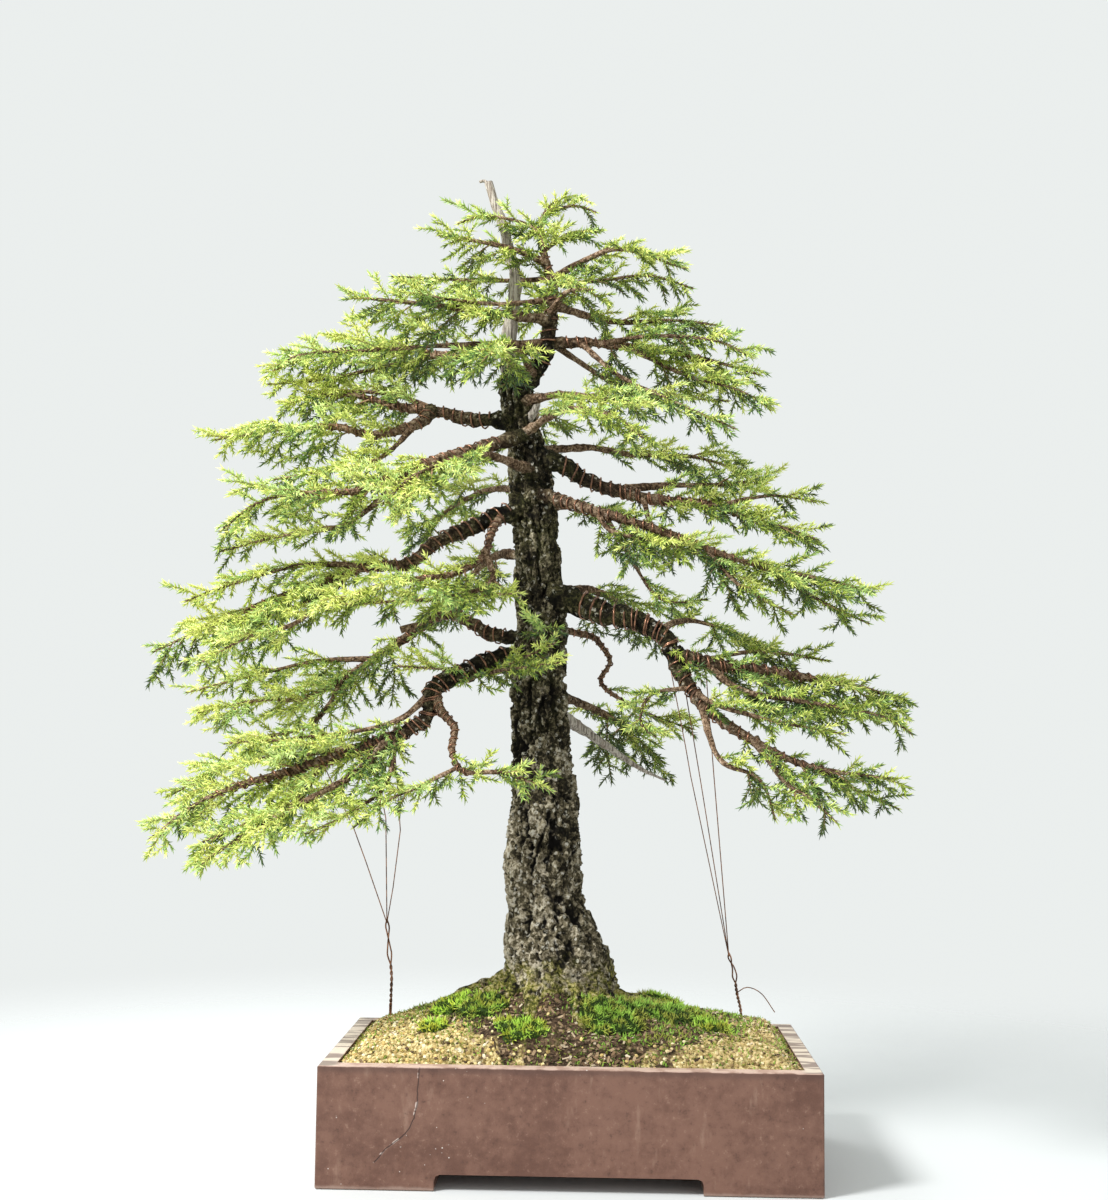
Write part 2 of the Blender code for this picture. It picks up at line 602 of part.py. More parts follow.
def straight_stem(start, heading, steps):
    return [start + heading * (step * (STRETCH + RING)) for step in range(steps + 1)]


def plan_twigs(branch, bough, crown, draw):
    """The side twigs of a branch, left and right in turn. Those on its wood are wood with a spray of their own."""
    woods, stems = [], []
    side = 1 if branch.route[-1][0] < 0 else -1
    grown = 0
    for number, place in enumerate(twig_places(branch)):
        root, elbow, onward, rest = plan_twig(branch, number, place, side, crown, draw)
        end = elbow + onward * rest
        if place < wood_length(branch):
            owner = ("wood", f"{branch.name}_twig_{number + 1}")
            radii = (TWIG_ROOT_RADIUS, (TWIG_ROOT_RADIUS + TWIG_END_RADIUS) / 2, TWIG_END_RADIUS)
            woods.append(Wood([root, elbow, end], radii, TWIG_SIDES, owner))
            crown.add([root, elbow, end], TWIG_ROOT_RADIUS, owner)
            points = straight_stem(end + onward * GAP, onward, TWIG_STEPS)
            owner = ("core", f"spray_{branch.name}_{number + 1}")
            spray = Stem(points, [CORE_RADIUS] * len(points), 0, {}, owner, onward)
            crown.add(points, CORE_RADIUS, spray.owner)
            stems.append(spray)
        else:
            points = [root, elbow] + straight_stem(end, onward, TWIG_STEPS)
            radii = [TWIG_END_RADIUS] * 2 + [CORE_RADIUS] * (len(points) - 2)
            twig = Stem(points, radii, 2, {}, bough.owner, onward)
            crown.add(points, CORE_RADIUS, bough.owner)
            bough.shoots[grown] = [twig]
            grown += 1
        side = -side
    return woods, stems


def plan_shoots(stem, rings, crown):
    """Side shoots off a leafy stem, left and right in turn, left out where they have no room."""
    side = 1
    for ring in rings:
        number = stem.bare + ring
        before, here = stem.points[number], stem.points[number + 1]
        heading = (here - before).normalized()
        for tilt in SHOOT_TILTS:
            out = turned(heading, side * SHOOT_ANGLE, heading.z * 0.6 + math.tan(math.radians(tilt)))
            points = straight_stem(here, out, SHOOT_STEPS)
            free = crown.room(points[1], points[-1], (), ("wood", "wire")) > WOOD_ROOM
            apart = crown.room(points[1], points[-1], (stem.owner,), ("core",)) > SPRAY_ROOM
            if free and apart:
                stem.shoots[number] = [Stem(points, [SHOOT_RADIUS] * len(points), 0, {}, stem.owner, out)]
                crown.add(points, SHOOT_RADIUS, stem.owner)
                break
        side = -side


def all_stems(stem):
    """A stem and every stem that grows from it."""
    found = [stem]
    for shoots in stem.shoots.values():
        for shoot in shoots:
            found += all_stems(shoot)
    return found


# Leafy stems pulled out of one mesh

def square_axes(heading):
    """Two axes square to a heading, the first one level."""
    level = Vector((0.0, 0.0, 1.0)).cross(heading)
    if level.length < 0.1:
        level = Vector((1.0, 0.0, 0.0)).cross(heading)
    level.normalize()
    return level, heading.cross(level)


def pull_out(bm, face, centre, heading, radius, twist):
    """Pulls a face out to an even ring square to a heading, and returns the new end and the faces round it."""
    middle = face.calc_center_median()
    end = bmesh.ops.extrude_discrete_faces(bm, faces=[face])["faces"][0]
    level, up = square_axes(heading)
    turn = 2 * math.pi / len(end.verts)
    spread = 0.0
    for number, vert in enumerate(end.verts):
        out = vert.co - middle
        spread += cmath.exp(1j * (math.atan2(out.dot(up), out.dot(level)) - number * turn))
    begin = cmath.phase(spread) + twist
    for number, vert in enumerate(end.verts):
        angle = begin + number * turn
        vert.co = centre + (level * math.cos(angle) + up * math.sin(angle)) * radius
    around = [next(side for side in edge.link_faces if side is not end) for edge in end.edges]
    return end, around


def grow(bm, end, stem, sites, begin):
    """Grows a core through its points. Each ring's faces become places for needles or side shoots."""
    points = [begin] + stem.points[1:]
    for number, (before, here) in enumerate(zip(points, points[1:])):
        heading = (here - before).normalized()
        thin = stem.radii[number + 1]
        end, _ = pull_out(bm, end, here - heading * RING, heading, thin, CORE_TWIST)
        end, around = pull_out(bm, end, here, heading, thin, 0.0)
        for shoot in stem.shoots.get(number, []):
            away = (shoot.points[1] - shoot.points[0]).normalized()
            for face in around:
                face.normal_update()
            root = max(around, key=lambda face: face.normal.dot(away))
            around.remove(root)
            halves = bmesh.ops.triangulate(bm, faces=[root])["faces"]
            grow(bm, halves[0], shoot, sites, shoot.points[0])
        if number >= stem.bare:
            sites.append((around, heading, stem))
    sites.append(([end], heading, stem))


def needle_way(face, heading):
    face.normal_update()
    if face.normal.dot(heading) > 0.9:
        return heading
    out = face.normal - heading * face.normal.dot(heading)
    return out.normalized() * math.sin(NEEDLE_LEAN) + heading * math.cos(NEEDLE_LEAN)


def near_stems(root, tip, stems):
    """Whether a needle comes too near another stem of its own spray."""
    for stem in stems:
        for a, b in zip(stem.points, stem.points[1:]):
            span = b - a
            for share in (0.4, 0.7, 1.0):
                spot = root.lerp(tip, share)
                reach = max(0.0, min(1.0, (spot - a).dot(span) / span.length_squared))
                if (spot - a - span * reach).length < SHOOT_RADIUS + NEEDLE_ROOM:
                    return True
    return False


def raise_needles(bm, sites, family, crown):
    """Raises a needle from each face that has room for one."""
    for faces, heading, stem in sites:
        own = (stem.owner, ("needle", stem.owner[1], id(stem)))
        others = [other for other in family if other is not stem]
        for face in faces:
            way = needle_way(face, heading)
            root = face.calc_center_median()
            tip = root + way * NEEDLE_LENGTH
            if crown.room(root + way * NEEDLE_FOOT, tip, own) < NEEDLE_ROOM or near_stems(root, tip, others):
                continue
            crown.add((root, tip), NEEDLE_RADIUS, own[1])
            spike = bmesh.ops.poke(bm, faces=[face])["verts"][0]
            spike.co = tip


def spray_mesh(stem, crown):
    """The closed mesh of one leafy bough or spray."""
    start, heading = stem.points[0], stem.root
    bm = bmesh.new()
    thick = stem.radii[0]
    bmesh.ops.create_cone(bm, cap_ends=True, segments=CORE_SIDES, radius1=thick, radius2=thick, depth=RING)
    turn = Vector((0.0, 0.0, 1.0)).rotation_difference(heading).to_matrix().to_4x4()
    place = Matrix.Translation(start + heading * (RING / 2)) @ turn
    bmesh.ops.transform(bm, matrix=place, verts=bm.verts)
    for face in bm.faces:
        face.normal_update()
    end = max(bm.faces, key=lambda face: face.normal.dot(heading))
    sites = []
    grow(bm, end, stem, sites, start + heading * RING)
    raise_needles(bm, sites, all_stems(stem), crown)
    bmesh.ops.triangulate(bm, faces=bm.faces)
    mesh = bpy.data.meshes.new(stem.owner[1])
    bm.to_mesh(mesh)
    bm.free()
    return mesh


# Pieces

def make_pot(parts, cutters, material):
    """A rectangular tray: walls and floor, shallow arches between four feet, drain holes and tie holes."""
    half_width, half_depth = POT_WIDTH / 2, POT_DEPTH / 2
    body = block_mesh("pot", (-half_width, -half_depth, 0.0), (half_width, half_depth, POT_HEIGHT))
    pot = piece("pot", body, material, parts)
    worn = pot.modifiers.new("Worn edges", "BEVEL")
    worn.width = POT_EDGE
    worn.segments = 1
    inner_bottom = FOOT_HEIGHT + POT_FLOOR
    inside = block_mesh("pot_inside", (POT_WALL - half_width, POT_WALL - half_depth, inner_bottom),
                        (half_width - POT_WALL, half_depth - POT_WALL, POT_HEIGHT + 0.02))
    boolean(pot, "DIFFERENCE", cutter("pot_inside", inside, cutters))
    past = 0.01
    arches = (
        ("front_arch", FRONT_ARCH / 2, half_depth + past),
        ("side_arch", half_width + past, SIDE_ARCH / 2),
    )
    for name, half_x, half_y in arches:
        arch = cutter(name, block_mesh(name, (-half_x, -half_y, -past), (half_x, half_y, FOOT_HEIGHT)), cutters)
        rounded = arch.modifiers.new("Rounded", "BEVEL")
        rounded.width = ARCH_CORNER
        rounded.segments = 2
        boolean(pot, "DIFFERENCE", arch)
    holes = [("drain", place, DRAIN_RADIUS, 16) for place in DRAIN_PLACES]
    holes += [("tie", place, TIE_HOLE_RADIUS, 8) for place in TIE_HOLE_PLACES]
    for number, (name, place, radius, sides) in enumerate(holes):
        drum = drum_mesh(f"{name}_hole_{number}", place, radius, FOOT_HEIGHT - past, inner_bottom + past, sides)
        boolean(pot, "DIFFERENCE", cutter(f"{name}_hole_{number}", drum, cutters))
    apply_modifiers(pot)
    return pot


def soil_height(x, y):
    """The height of the soil: level near the rim, heaped round the root base."""
    away = math.hypot((x - HEAP_MIDDLE[0]) / HEAP_REACH[0], (y - HEAP_MIDDLE[1]) / HEAP_REACH[1])
    inner_x = POT_WIDTH / 2 - POT_WALL
    inner_y = POT_DEPTH / 2 - POT_WALL
    to_wall = max(0.0, min(inner_x - abs(x), inner_y - abs(y)))
    fade = min(1.0, to_wall / HEAP_FADE)
    fade = fade * fade * (3.0 - 2.0 * fade)
    lumps = noise.noise(Vector((x, y, 0.0)) / SOIL_LUMP) * SOIL_LUMP_HEIGHT * fade
    return SOIL_RIM + SOIL_HEAP * math.exp(-away ** HEAP_SHAPE) * fade + lumps


def make_soil(parts, cutters, material):
    """Gravel and humus that fill the pot, with plain holes for the trunk's foot and the guy wires."""
    half_x = POT_WIDTH / 2 - POT_WALL - GAP
    half_y = POT_DEPTH / 2 - POT_WALL - GAP
    bottom = FOOT_HEIGHT + POT_FLOOR + GAP
    bm = bmesh.new()
    bmesh.ops.create_grid(bm, x_segments=SOIL_CELLS[0], y_segments=SOIL_CELLS[1], size=1.0)
    for vert in bm.verts:
        x, y = vert.co.x * half_x, vert.co.y * half_y
        vert.co = (x, y, soil_height(x, y))
    rim = [edge for edge in bm.edges if edge.is_boundary]
    skirt = bmesh.ops.extrude_edge_only(bm, edges=rim)["geom"]
    low = [item for item in skirt if isinstance(item, bmesh.types.BMVert)]
    for vert in low:
        vert.co.z = bottom
    bmesh.ops.contextual_create(bm, geom=[e for e in bm.edges if e.is_boundary])
    bmesh.ops.recalc_face_normals(bm, faces=bm.faces)
    mesh = bpy.data.meshes.new("soil")
    bm.to_mesh(mesh)
    bm.free()
    soil = piece("soil", mesh, material, parts)
    foot = drum_mesh("foot_hole", TRUNK[0][:2], FOOT_HOLE_RADIUS, FOOT_BOTTOM, 0.25, FOOT_HOLE_SIDES)
    boolean(soil, "DIFFERENCE", cutter("foot_hole", foot, cutters))
    for name, guy in (("left", LEFT_GUY), ("right", RIGHT_GUY)):
        x, y = guy[0][:2]
        surface = soil_height(x, y)
        hole = drum_mesh(f"{name}_guy_hole", (x, y), GUY_HOLE_RADIUS, surface - GUY_HOLE_DEPTH, surface + 0.03, 8)
        boolean(soil, "DIFFERENCE", cutter(f"{name}_guy_hole", hole, cutters))
    for name, place, size in MOSS:
        seat = moss_mesh(name + "_seat", place, size, GAP)
        boolean(soil, "DIFFERENCE", cutter(name + "_seat", seat, cutters))
    apply_modifiers(soil)
    return soil


def moss_mesh(name, place, size, swell):
    """A low lumpy cushion, half under the soil's surface."""
    bm = bmesh.new()
    bmesh.ops.create_icosphere(bm, subdivisions=2, radius=1.0)
    centre = Vector((place[0], place[1], soil_height(*place) + size[2] * MOSS_RISE))
    for vert in bm.verts:
        lump = 1.0 + MOSS_LUMP * noise.noise(vert.co * 1.7 + Vector(place).to_3d() * 40.0)
        offset = Vector((vert.co.x * size[0], vert.co.y * size[1], vert.co.z * size[2])) * lump
        vert.co = centre + offset + offset.normalized() * swell * MOSS_SEAT
    mesh = bpy.data.meshes.new(name)
    bm.to_mesh(mesh)
    bm.free()
    return mesh


def make_moss(parts, material):
    for name, place, size in MOSS:
        piece(name, moss_mesh(name, place, size, 0.0), material, parts)


def trunk_mesh():
    """The trunk with ribs that spread into the root base and bark plates raised by a formula."""
    points = [Vector(row[:3]) for row in TRUNK]
    mesh = tube_mesh("trunk", points, [row[3] for row in TRUNK], TRUNK_SIDES)
    low = TRUNK[0][2]
    for vert in mesh.vertices:
        axis_x = np.interp(vert.co.z, [row[2] for row in TRUNK], [row[0] for row in TRUNK])
        axis_y = np.interp(vert.co.z, [row[2] for row in TRUNK], [row[1] for row in TRUNK])
        out = Vector((vert.co.x - axis_x, vert.co.y - axis_y, 0.0))
        if vert.co.z < low + 0.001 or out.length < 0.001:
            continue
        around = math.atan2(out.y, out.x)
        rib = math.cos(ROOT_RIBS * around + ROOT_RIB_TURN) * ROOT_RIB_DEPTH
        rib *= max(0.0, (ROOT_RIB_TOP[0] - vert.co.z) / ROOT_RIB_TOP[1])
        rib *= min(1.0, max(0.0, (vert.co.z - ROOT_RIB_FOOT[0]) / ROOT_RIB_FOOT[1]))
        plate = noise.noise(vert.co / BARK_PLATE) * BARK_DEPTH
        vert.co += out.normalized() * (plate + out.length * rib)
    return mesh


def make_wood(woods, parts, cutters, material):
    """The tree's wood in one solid: trunk, leaders, dead wood, branches and twigs."""
    wood = piece("tree_wood", trunk_mesh(), material, parts)
    meshes = []
    for number, (route, thick, thin) in enumerate(DEAD_WOOD):
        points = [Vector(point) for point in route]
        meshes.append(tube_mesh(f"dead_{number}", points, tapered(points, thick, thin), BRANCH_SIDES))
    for plan in woods:
        meshes.append(tube_mesh(plan.owner[1], plan.points, plan.radii, plan.sides))
    fuse(wood, meshes, cutters, "MANIFOLD")
    return wood


def radius_at(branch, distance):
    share = max(0.0, min(1.0, distance / wood_length(branch)))
    return branch.thick + (branch.thin - branch.thick) * share ** WOOD_TAPER


def hook(branch, share, wire):
    """The points of a wire end that is bent round a branch from below."""
    distance = share * route_length(branch.route)
    centre, heading = along(branch.route, distance)
    level, up = square_axes(heading)
    ring = radius_at(branch, distance) + wire + COIL_ROOM
    points = []
    for step in range(HOOK_POINTS):
        angle = HOOK_START + HOOK_TURN * step / (HOOK_POINTS - 1)
        points.append(centre + (level * math.cos(angle) + up * math.sin(angle)) * ring)
    return points


def plan_guy(stem, strands, name, crown):
    """The stem of a guy wire and its strands, as lists of points."""
    surface = soil_height(stem[0][0], stem[0][1])
    points = [Vector((stem[0][0], stem[0][1], surface - GUY_HOLE_DEPTH + GAP))]
    points += [Vector(point) for point in stem[1:]]
    crown.add(points, GUY_RADIUS, ("wire", name))
    lines = []
    joint = points[-1]
    for branch_name, share, way in strands:
        line = [joint - (joint - points[-2]).normalized() * STRAND_OVERLAP]
        line += [Vector(point) for point in way] + hook(branch_named(branch_name), share, STRAND_RADIUS)
        crown.add(line, STRAND_RADIUS, ("wire", name))
        lines.append(line)
    return points, lines


def make_guy(name, plan, parts, cutters, material):
    """A guy wire: a stout twisted stem in the soil and the strands that pull the branches down."""
    points, lines = plan
    mesh = tube_mesh(name, points, [GUY_RADIUS] * len(points), GUY_SIDES)
    guy = piece(name, mesh, material, parts)
    meshes = [tube_mesh(f"{name}_{n}", line, [STRAND_RADIUS] * len(line), WIRE_SIDES) for n, line in enumerate(lines)]
    fuse(guy, meshes, cutters, "MANIFOLD")
    return guy


def plan_coil(branch, first, last, turns, crown, name):
    """The turns of a wire coiled loosely round a stretch of a branch, and the branch's axis at each point."""
    length = route_length(branch.route)
    points, centres = [], []
    count = turns * COIL_POINTS
    for step in range(count + 1):
        distance = (first + (last - first) * step / count) * length
        centre, heading = along(branch.route, distance)
        level, up = square_axes(heading)
        angle = 2 * math.pi * step / COIL_POINTS
        ring = radius_at(branch, distance) + COIL_WIRE_RADIUS + COIL_ROOM
        ring /= math.cos(math.pi / COIL_POINTS)
        points.append(centre + (level * math.cos(angle) + up * math.sin(angle)) * ring)
        centres.append(centre)
    crown.add(points, COIL_WIRE_RADIUS, ("wire", name))
    return points, centres


def drawn_tight(points, centres, bark):
    """Coil points pulled in until the wire lies on the bark, a gap's width clear of it."""
    for _ in range(COIL_PASSES):
        rooms = []
        for a, b in zip(points, points[1:]):
            nearest = min(bark.find_nearest(a.lerp(b, share / 6))[3] for share in range(7))
            rooms.append(nearest - COIL_WIRE_RADIUS - GAP)
        for number, centre in enumerate(centres):
            room = min(rooms[max(number - 1, 0):number + 1])
            points[number] = points[number] + (centre - points[number]).normalized() * room / 2
    return points


def make_coil(name, plan, wood, parts, material):
    """One training wire, wound on the finished wood."""
    bark = BVHTree.FromPolygons([v.co for v in wood.data.vertices], [p.vertices for p in wood.data.polygons])
    points = drawn_tight(*plan, bark)
    piece(name, tube_mesh(name, points, [COIL_WIRE_RADIUS] * len(points), WIRE_SIDES), material, parts)


def move_origin(parts):
    """Moves every piece so that the origin is the bottom centre of the object's box."""
    bpy.context.view_layer.update()
    corners = [item.matrix_world @ vert.co for item in parts.objects for vert in item.data.vertices]
    middle = [(min(c[axis] for c in corners) + max(c[axis] for c in corners)) / 2 for axis in (0, 1)]
    frame = bpy.data.objects.new("bonsai", None)
    bpy.context.scene.collection.objects.link(frame)
    frame.location = (-middle[0], -middle[1], 0.0)
    for item in parts.objects:
        item.parent = frame
    return middle


def main():
    clear_scene()
    parts = new_collection("norway_spruce_bonsai")
    cutters = new_collection("cutters", hidden=True)
    materials = {name: finish_material(name) for name in FINISHES}
    draw = random.Random(SEED)
    crown = Crown()
    crown.add([Vector(row[:3]) for row in TRUNK], TRUNK_ROOM, ("wood", "trunk"))
    for route, thick, thin in DEAD_WOOD:
        crown.add([Vector(point) for point in route], thick * 0.7, ("wood", "dead"))
    woods = [plan_branch(branch, crown) for branch in BRANCHES]
    guys = {
        "guy_wire_left": plan_guy(LEFT_GUY, LEFT_STRANDS, "guy_wire_left", crown),
        "guy_wire_right": plan_guy(RIGHT_GUY, RIGHT_STRANDS, "guy_wire_right", crown),
    }
    coils = {}
    for name, branch_name, first, last, turns in COILS:
        coils[name] = plan_coil(branch_named(branch_name), first, last, turns, crown, name)
    boughs = [plan_bough(branch, crown) for branch in BRANCHES]
    sprays = list(boughs)
    for branch, bough in zip(BRANCHES, boughs):
        more_wood, more_sprays = plan_twigs(branch, bough, crown, draw)
        woods += more_wood
        sprays += more_sprays
    for spray in sprays:
        plan_shoots(spray, TIP_SHOOTS if spray in boughs else TWIG_SHOOTS, crown)
        for twig in all_stems(spray)[1:]:
            if twig.bare:
                plan_shoots(twig, TWIG_SHOOTS, crown)

    make_pot(parts, cutters, materials["stoneware"])
    make_soil(parts, cutters, materials["soil"])
    make_moss(parts, materials["moss"])
    wood = make_wood(woods, parts, cutters, materials["bark"])
    for name, plan in guys.items():
        make_guy(name, plan, parts, cutters, materials["copper"])
    for name, plan in coils.items():
        make_coil(name, plan, wood, parts, materials["copper"])
    for spray in sprays:
        piece(spray.owner[1], spray_mesh(spray, crown), materials["needles"], parts)
    print(len(parts.objects), "pieces, moved by", move_origin(parts))


main()
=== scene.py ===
"""The finished look of a Norway spruce bonsai in a rectangular stoneware tray.

The packed model is the fixed frame. Its wood, sprays, wires, soil and moss are replaced by finer pieces that
stand in the same places, and the tray keeps its shape and gets its stoneware finish. Every place is written
round the middle of the tray's underside, and HOME moves it to where the tray stands in the frame. Sizes are
in metres, and the tables of places inside metres() are in millimetres.
"""

import bisect
import math
import random
import re
from collections import namedtuple

import bmesh
import bpy
from mathutils import Matrix, Vector, noise


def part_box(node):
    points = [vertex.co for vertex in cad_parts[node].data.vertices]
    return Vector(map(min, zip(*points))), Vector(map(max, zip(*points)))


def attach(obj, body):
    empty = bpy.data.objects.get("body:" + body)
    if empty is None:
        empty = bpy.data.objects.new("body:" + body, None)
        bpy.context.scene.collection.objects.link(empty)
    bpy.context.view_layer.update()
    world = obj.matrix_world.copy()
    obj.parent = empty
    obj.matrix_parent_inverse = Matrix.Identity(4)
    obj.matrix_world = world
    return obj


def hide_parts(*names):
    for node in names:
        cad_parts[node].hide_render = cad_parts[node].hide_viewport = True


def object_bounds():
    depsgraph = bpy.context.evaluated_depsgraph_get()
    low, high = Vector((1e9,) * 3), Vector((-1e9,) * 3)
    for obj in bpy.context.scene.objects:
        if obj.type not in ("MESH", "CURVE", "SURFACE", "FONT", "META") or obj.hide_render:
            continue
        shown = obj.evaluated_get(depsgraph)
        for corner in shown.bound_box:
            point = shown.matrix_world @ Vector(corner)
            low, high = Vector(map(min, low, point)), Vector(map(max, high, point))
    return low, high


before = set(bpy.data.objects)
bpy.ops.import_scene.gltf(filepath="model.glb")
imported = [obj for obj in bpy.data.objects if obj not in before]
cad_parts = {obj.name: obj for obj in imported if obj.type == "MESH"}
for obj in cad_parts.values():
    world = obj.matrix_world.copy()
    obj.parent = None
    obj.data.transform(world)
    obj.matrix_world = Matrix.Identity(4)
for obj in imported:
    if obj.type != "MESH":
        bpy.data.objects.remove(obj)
CAD_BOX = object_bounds()
POT_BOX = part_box("pot")
HOME = Vector(((POT_BOX[0].x + POT_BOX[1].x) / 2, (POT_BOX[0].y + POT_BOX[1].y) / 2, POT_BOX[0].z))

bl_info = {
    "name": "Norway spruce bonsai",
    "version": (1, 0, 0),
    "blender": (4, 5, 0),
    "location": "View3D > Sidebar > Bonsai",
    "description": "Builds the finished pieces of a spruce bonsai over its packed frame",
    "category": "Object",
}


def metres(table):
    """A table of places that is written in millimetres."""
    return tuple(metres(item) for item in table) if isinstance(table, tuple) else table / 1000


UP = Vector((0.0, 0.0, 1.0))
GOLDEN_ANGLE = math.radians(137.508)
SEED = 23

# The tray and its soil
POT_HALF_WIDTH = 0.250
POT_HALF_DEPTH = 0.140
POT_WALL = 0.017
POT_TOP = 0.119
SOIL_BOTTOM = 0.0313
SOIL_GAP = 0.0004
SOIL_CELLS = (110, 62)
COVER_CELLS = (60, 34)
SOIL_LUMPS = ((0.035, 0.0035), (0.012, 0.0014), (0.005, 0.0007))

# The mound: the soil's height at the rim, the mound's rise over it, its middle, how far it reaches to the
# left, to the right and to front and back, how round it is, and the width of its fade at the tray's wall. The
# collar is a low rise in front of the root base: its middle, half sizes and height.
SOIL_RIM = 0.1148
SOIL_HEAP = 0.0720
HEAP_MIDDLE = (-0.066, 0.006)
HEAP_LEFT = 0.126
HEAP_RIGHT = 0.270
HEAP_DEPTH = 0.1145
HEAP_SHAPE = 1.5
HEAP_FADE = 0.024
COLLAR = ((-0.014, -0.046), (0.050, 0.034), 0.017)

# The dark ground round the root base, inside the open gravel: its middle and half sizes
DARK_GROUND = ((0.012, 0.030), (0.182, 0.166))

# The trunk: the place and radius of its axis, from the foot to the fork of the two leaders
TRUNK = metres((
    (-11, 0, 150, 62), (-11, 0, 183, 61), (-14, 0, 206, 59), (-21, 0, 231, 53.5), (-30, 1, 266, 44.5),
    (-34, 2, 302, 41.5), (-33, 2, 345, 38.5), (-34, 3, 377, 36.5), (-37, 3, 426, 33), (-39, 3, 476, 31),
    (-40, 2, 520, 29.5), (-38, 1, 568, 28), (-41, 0, 612, 26), (-44, 0, 646, 24.5), (-47, 0, 685, 24.5),
    (-52, 1, 727, 24), (-57, 1, 765, 20), (-66, 1, 800, 17.5), (-70, 0, 832, 19), (-70, 0, 852, 14)))
TRUNK_RINGS = 290
TRUNK_SIDES = 116

# Ribs that run from the trunk's foot into the roots: their angle, rise and width, then where they end and how
# long they take to grow
ROOT_RIBS = ((-2.62, 0.09, 0.38), (-1.75, 0.07, 0.30), (-0.95, 0.10, 0.34), (-0.12, 0.07, 0.36),
             (0.85, 0.12, 0.36), (1.75, 0.14, 0.40), (2.65, 0.13, 0.34))
ROOT_RIB_TOP = (0.270, 0.085)

# Roots that run down the mound under moss and litter: heading in degrees, length, radius, rise at the trunk
SURFACE_ROOTS = ((-146, 0.085, 0.011, 0.006), (-166, 0.090, 0.010, 0.004), (178, 0.090, 0.010, 0.004),
                 (-126, 0.062, 0.010, 0.016), (-108, 0.050, 0.007, 0.012), (-84, 0.060, 0.009, 0.014),
                 (-60, 0.055, 0.009, 0.012), (-36, 0.060, 0.011, 0.010), (-8, 0.075, 0.010, 0.006),
                 (22, 0.070, 0.010, 0.006), (52, 0.060, 0.011, 0.014), (90, 0.062, 0.010, 0.018),
                 (122, 0.070, 0.012, 0.016), (152, 0.085, 0.011, 0.012))
ROOT_START = 0.038
ROOT_STEP = 0.004

# Bare dead wood: the grey leader, its hooked end, the low stub and the snag near the fork, each with its
# radius at both ends
DEAD_WOOD = (
    (0.0112, 0.0046, metres((
        (-74, 10, 826), (-79, 14, 882), (-72, 14, 957), (-79, 12, 987), (-85, 10, 1015), (-95, 10, 1042),
        (-104, 10, 1070)))),
    (0.0028, 0.0015, metres((
        (-102.5, 10, 1065.5), (-108, 10, 1071.8), (-114, 9, 1070.2)))),
    (0.0090, 0.0010, metres((
        (-20, 10, 472), (5, 45, 456), (31, 55, 439), (70, 75, 413), (102, 90, 398)))),
    (0.0060, 0.0030, metres((
        (-58, -4, 792), (-46, -16, 806), (-44, -22, 822)))),
)

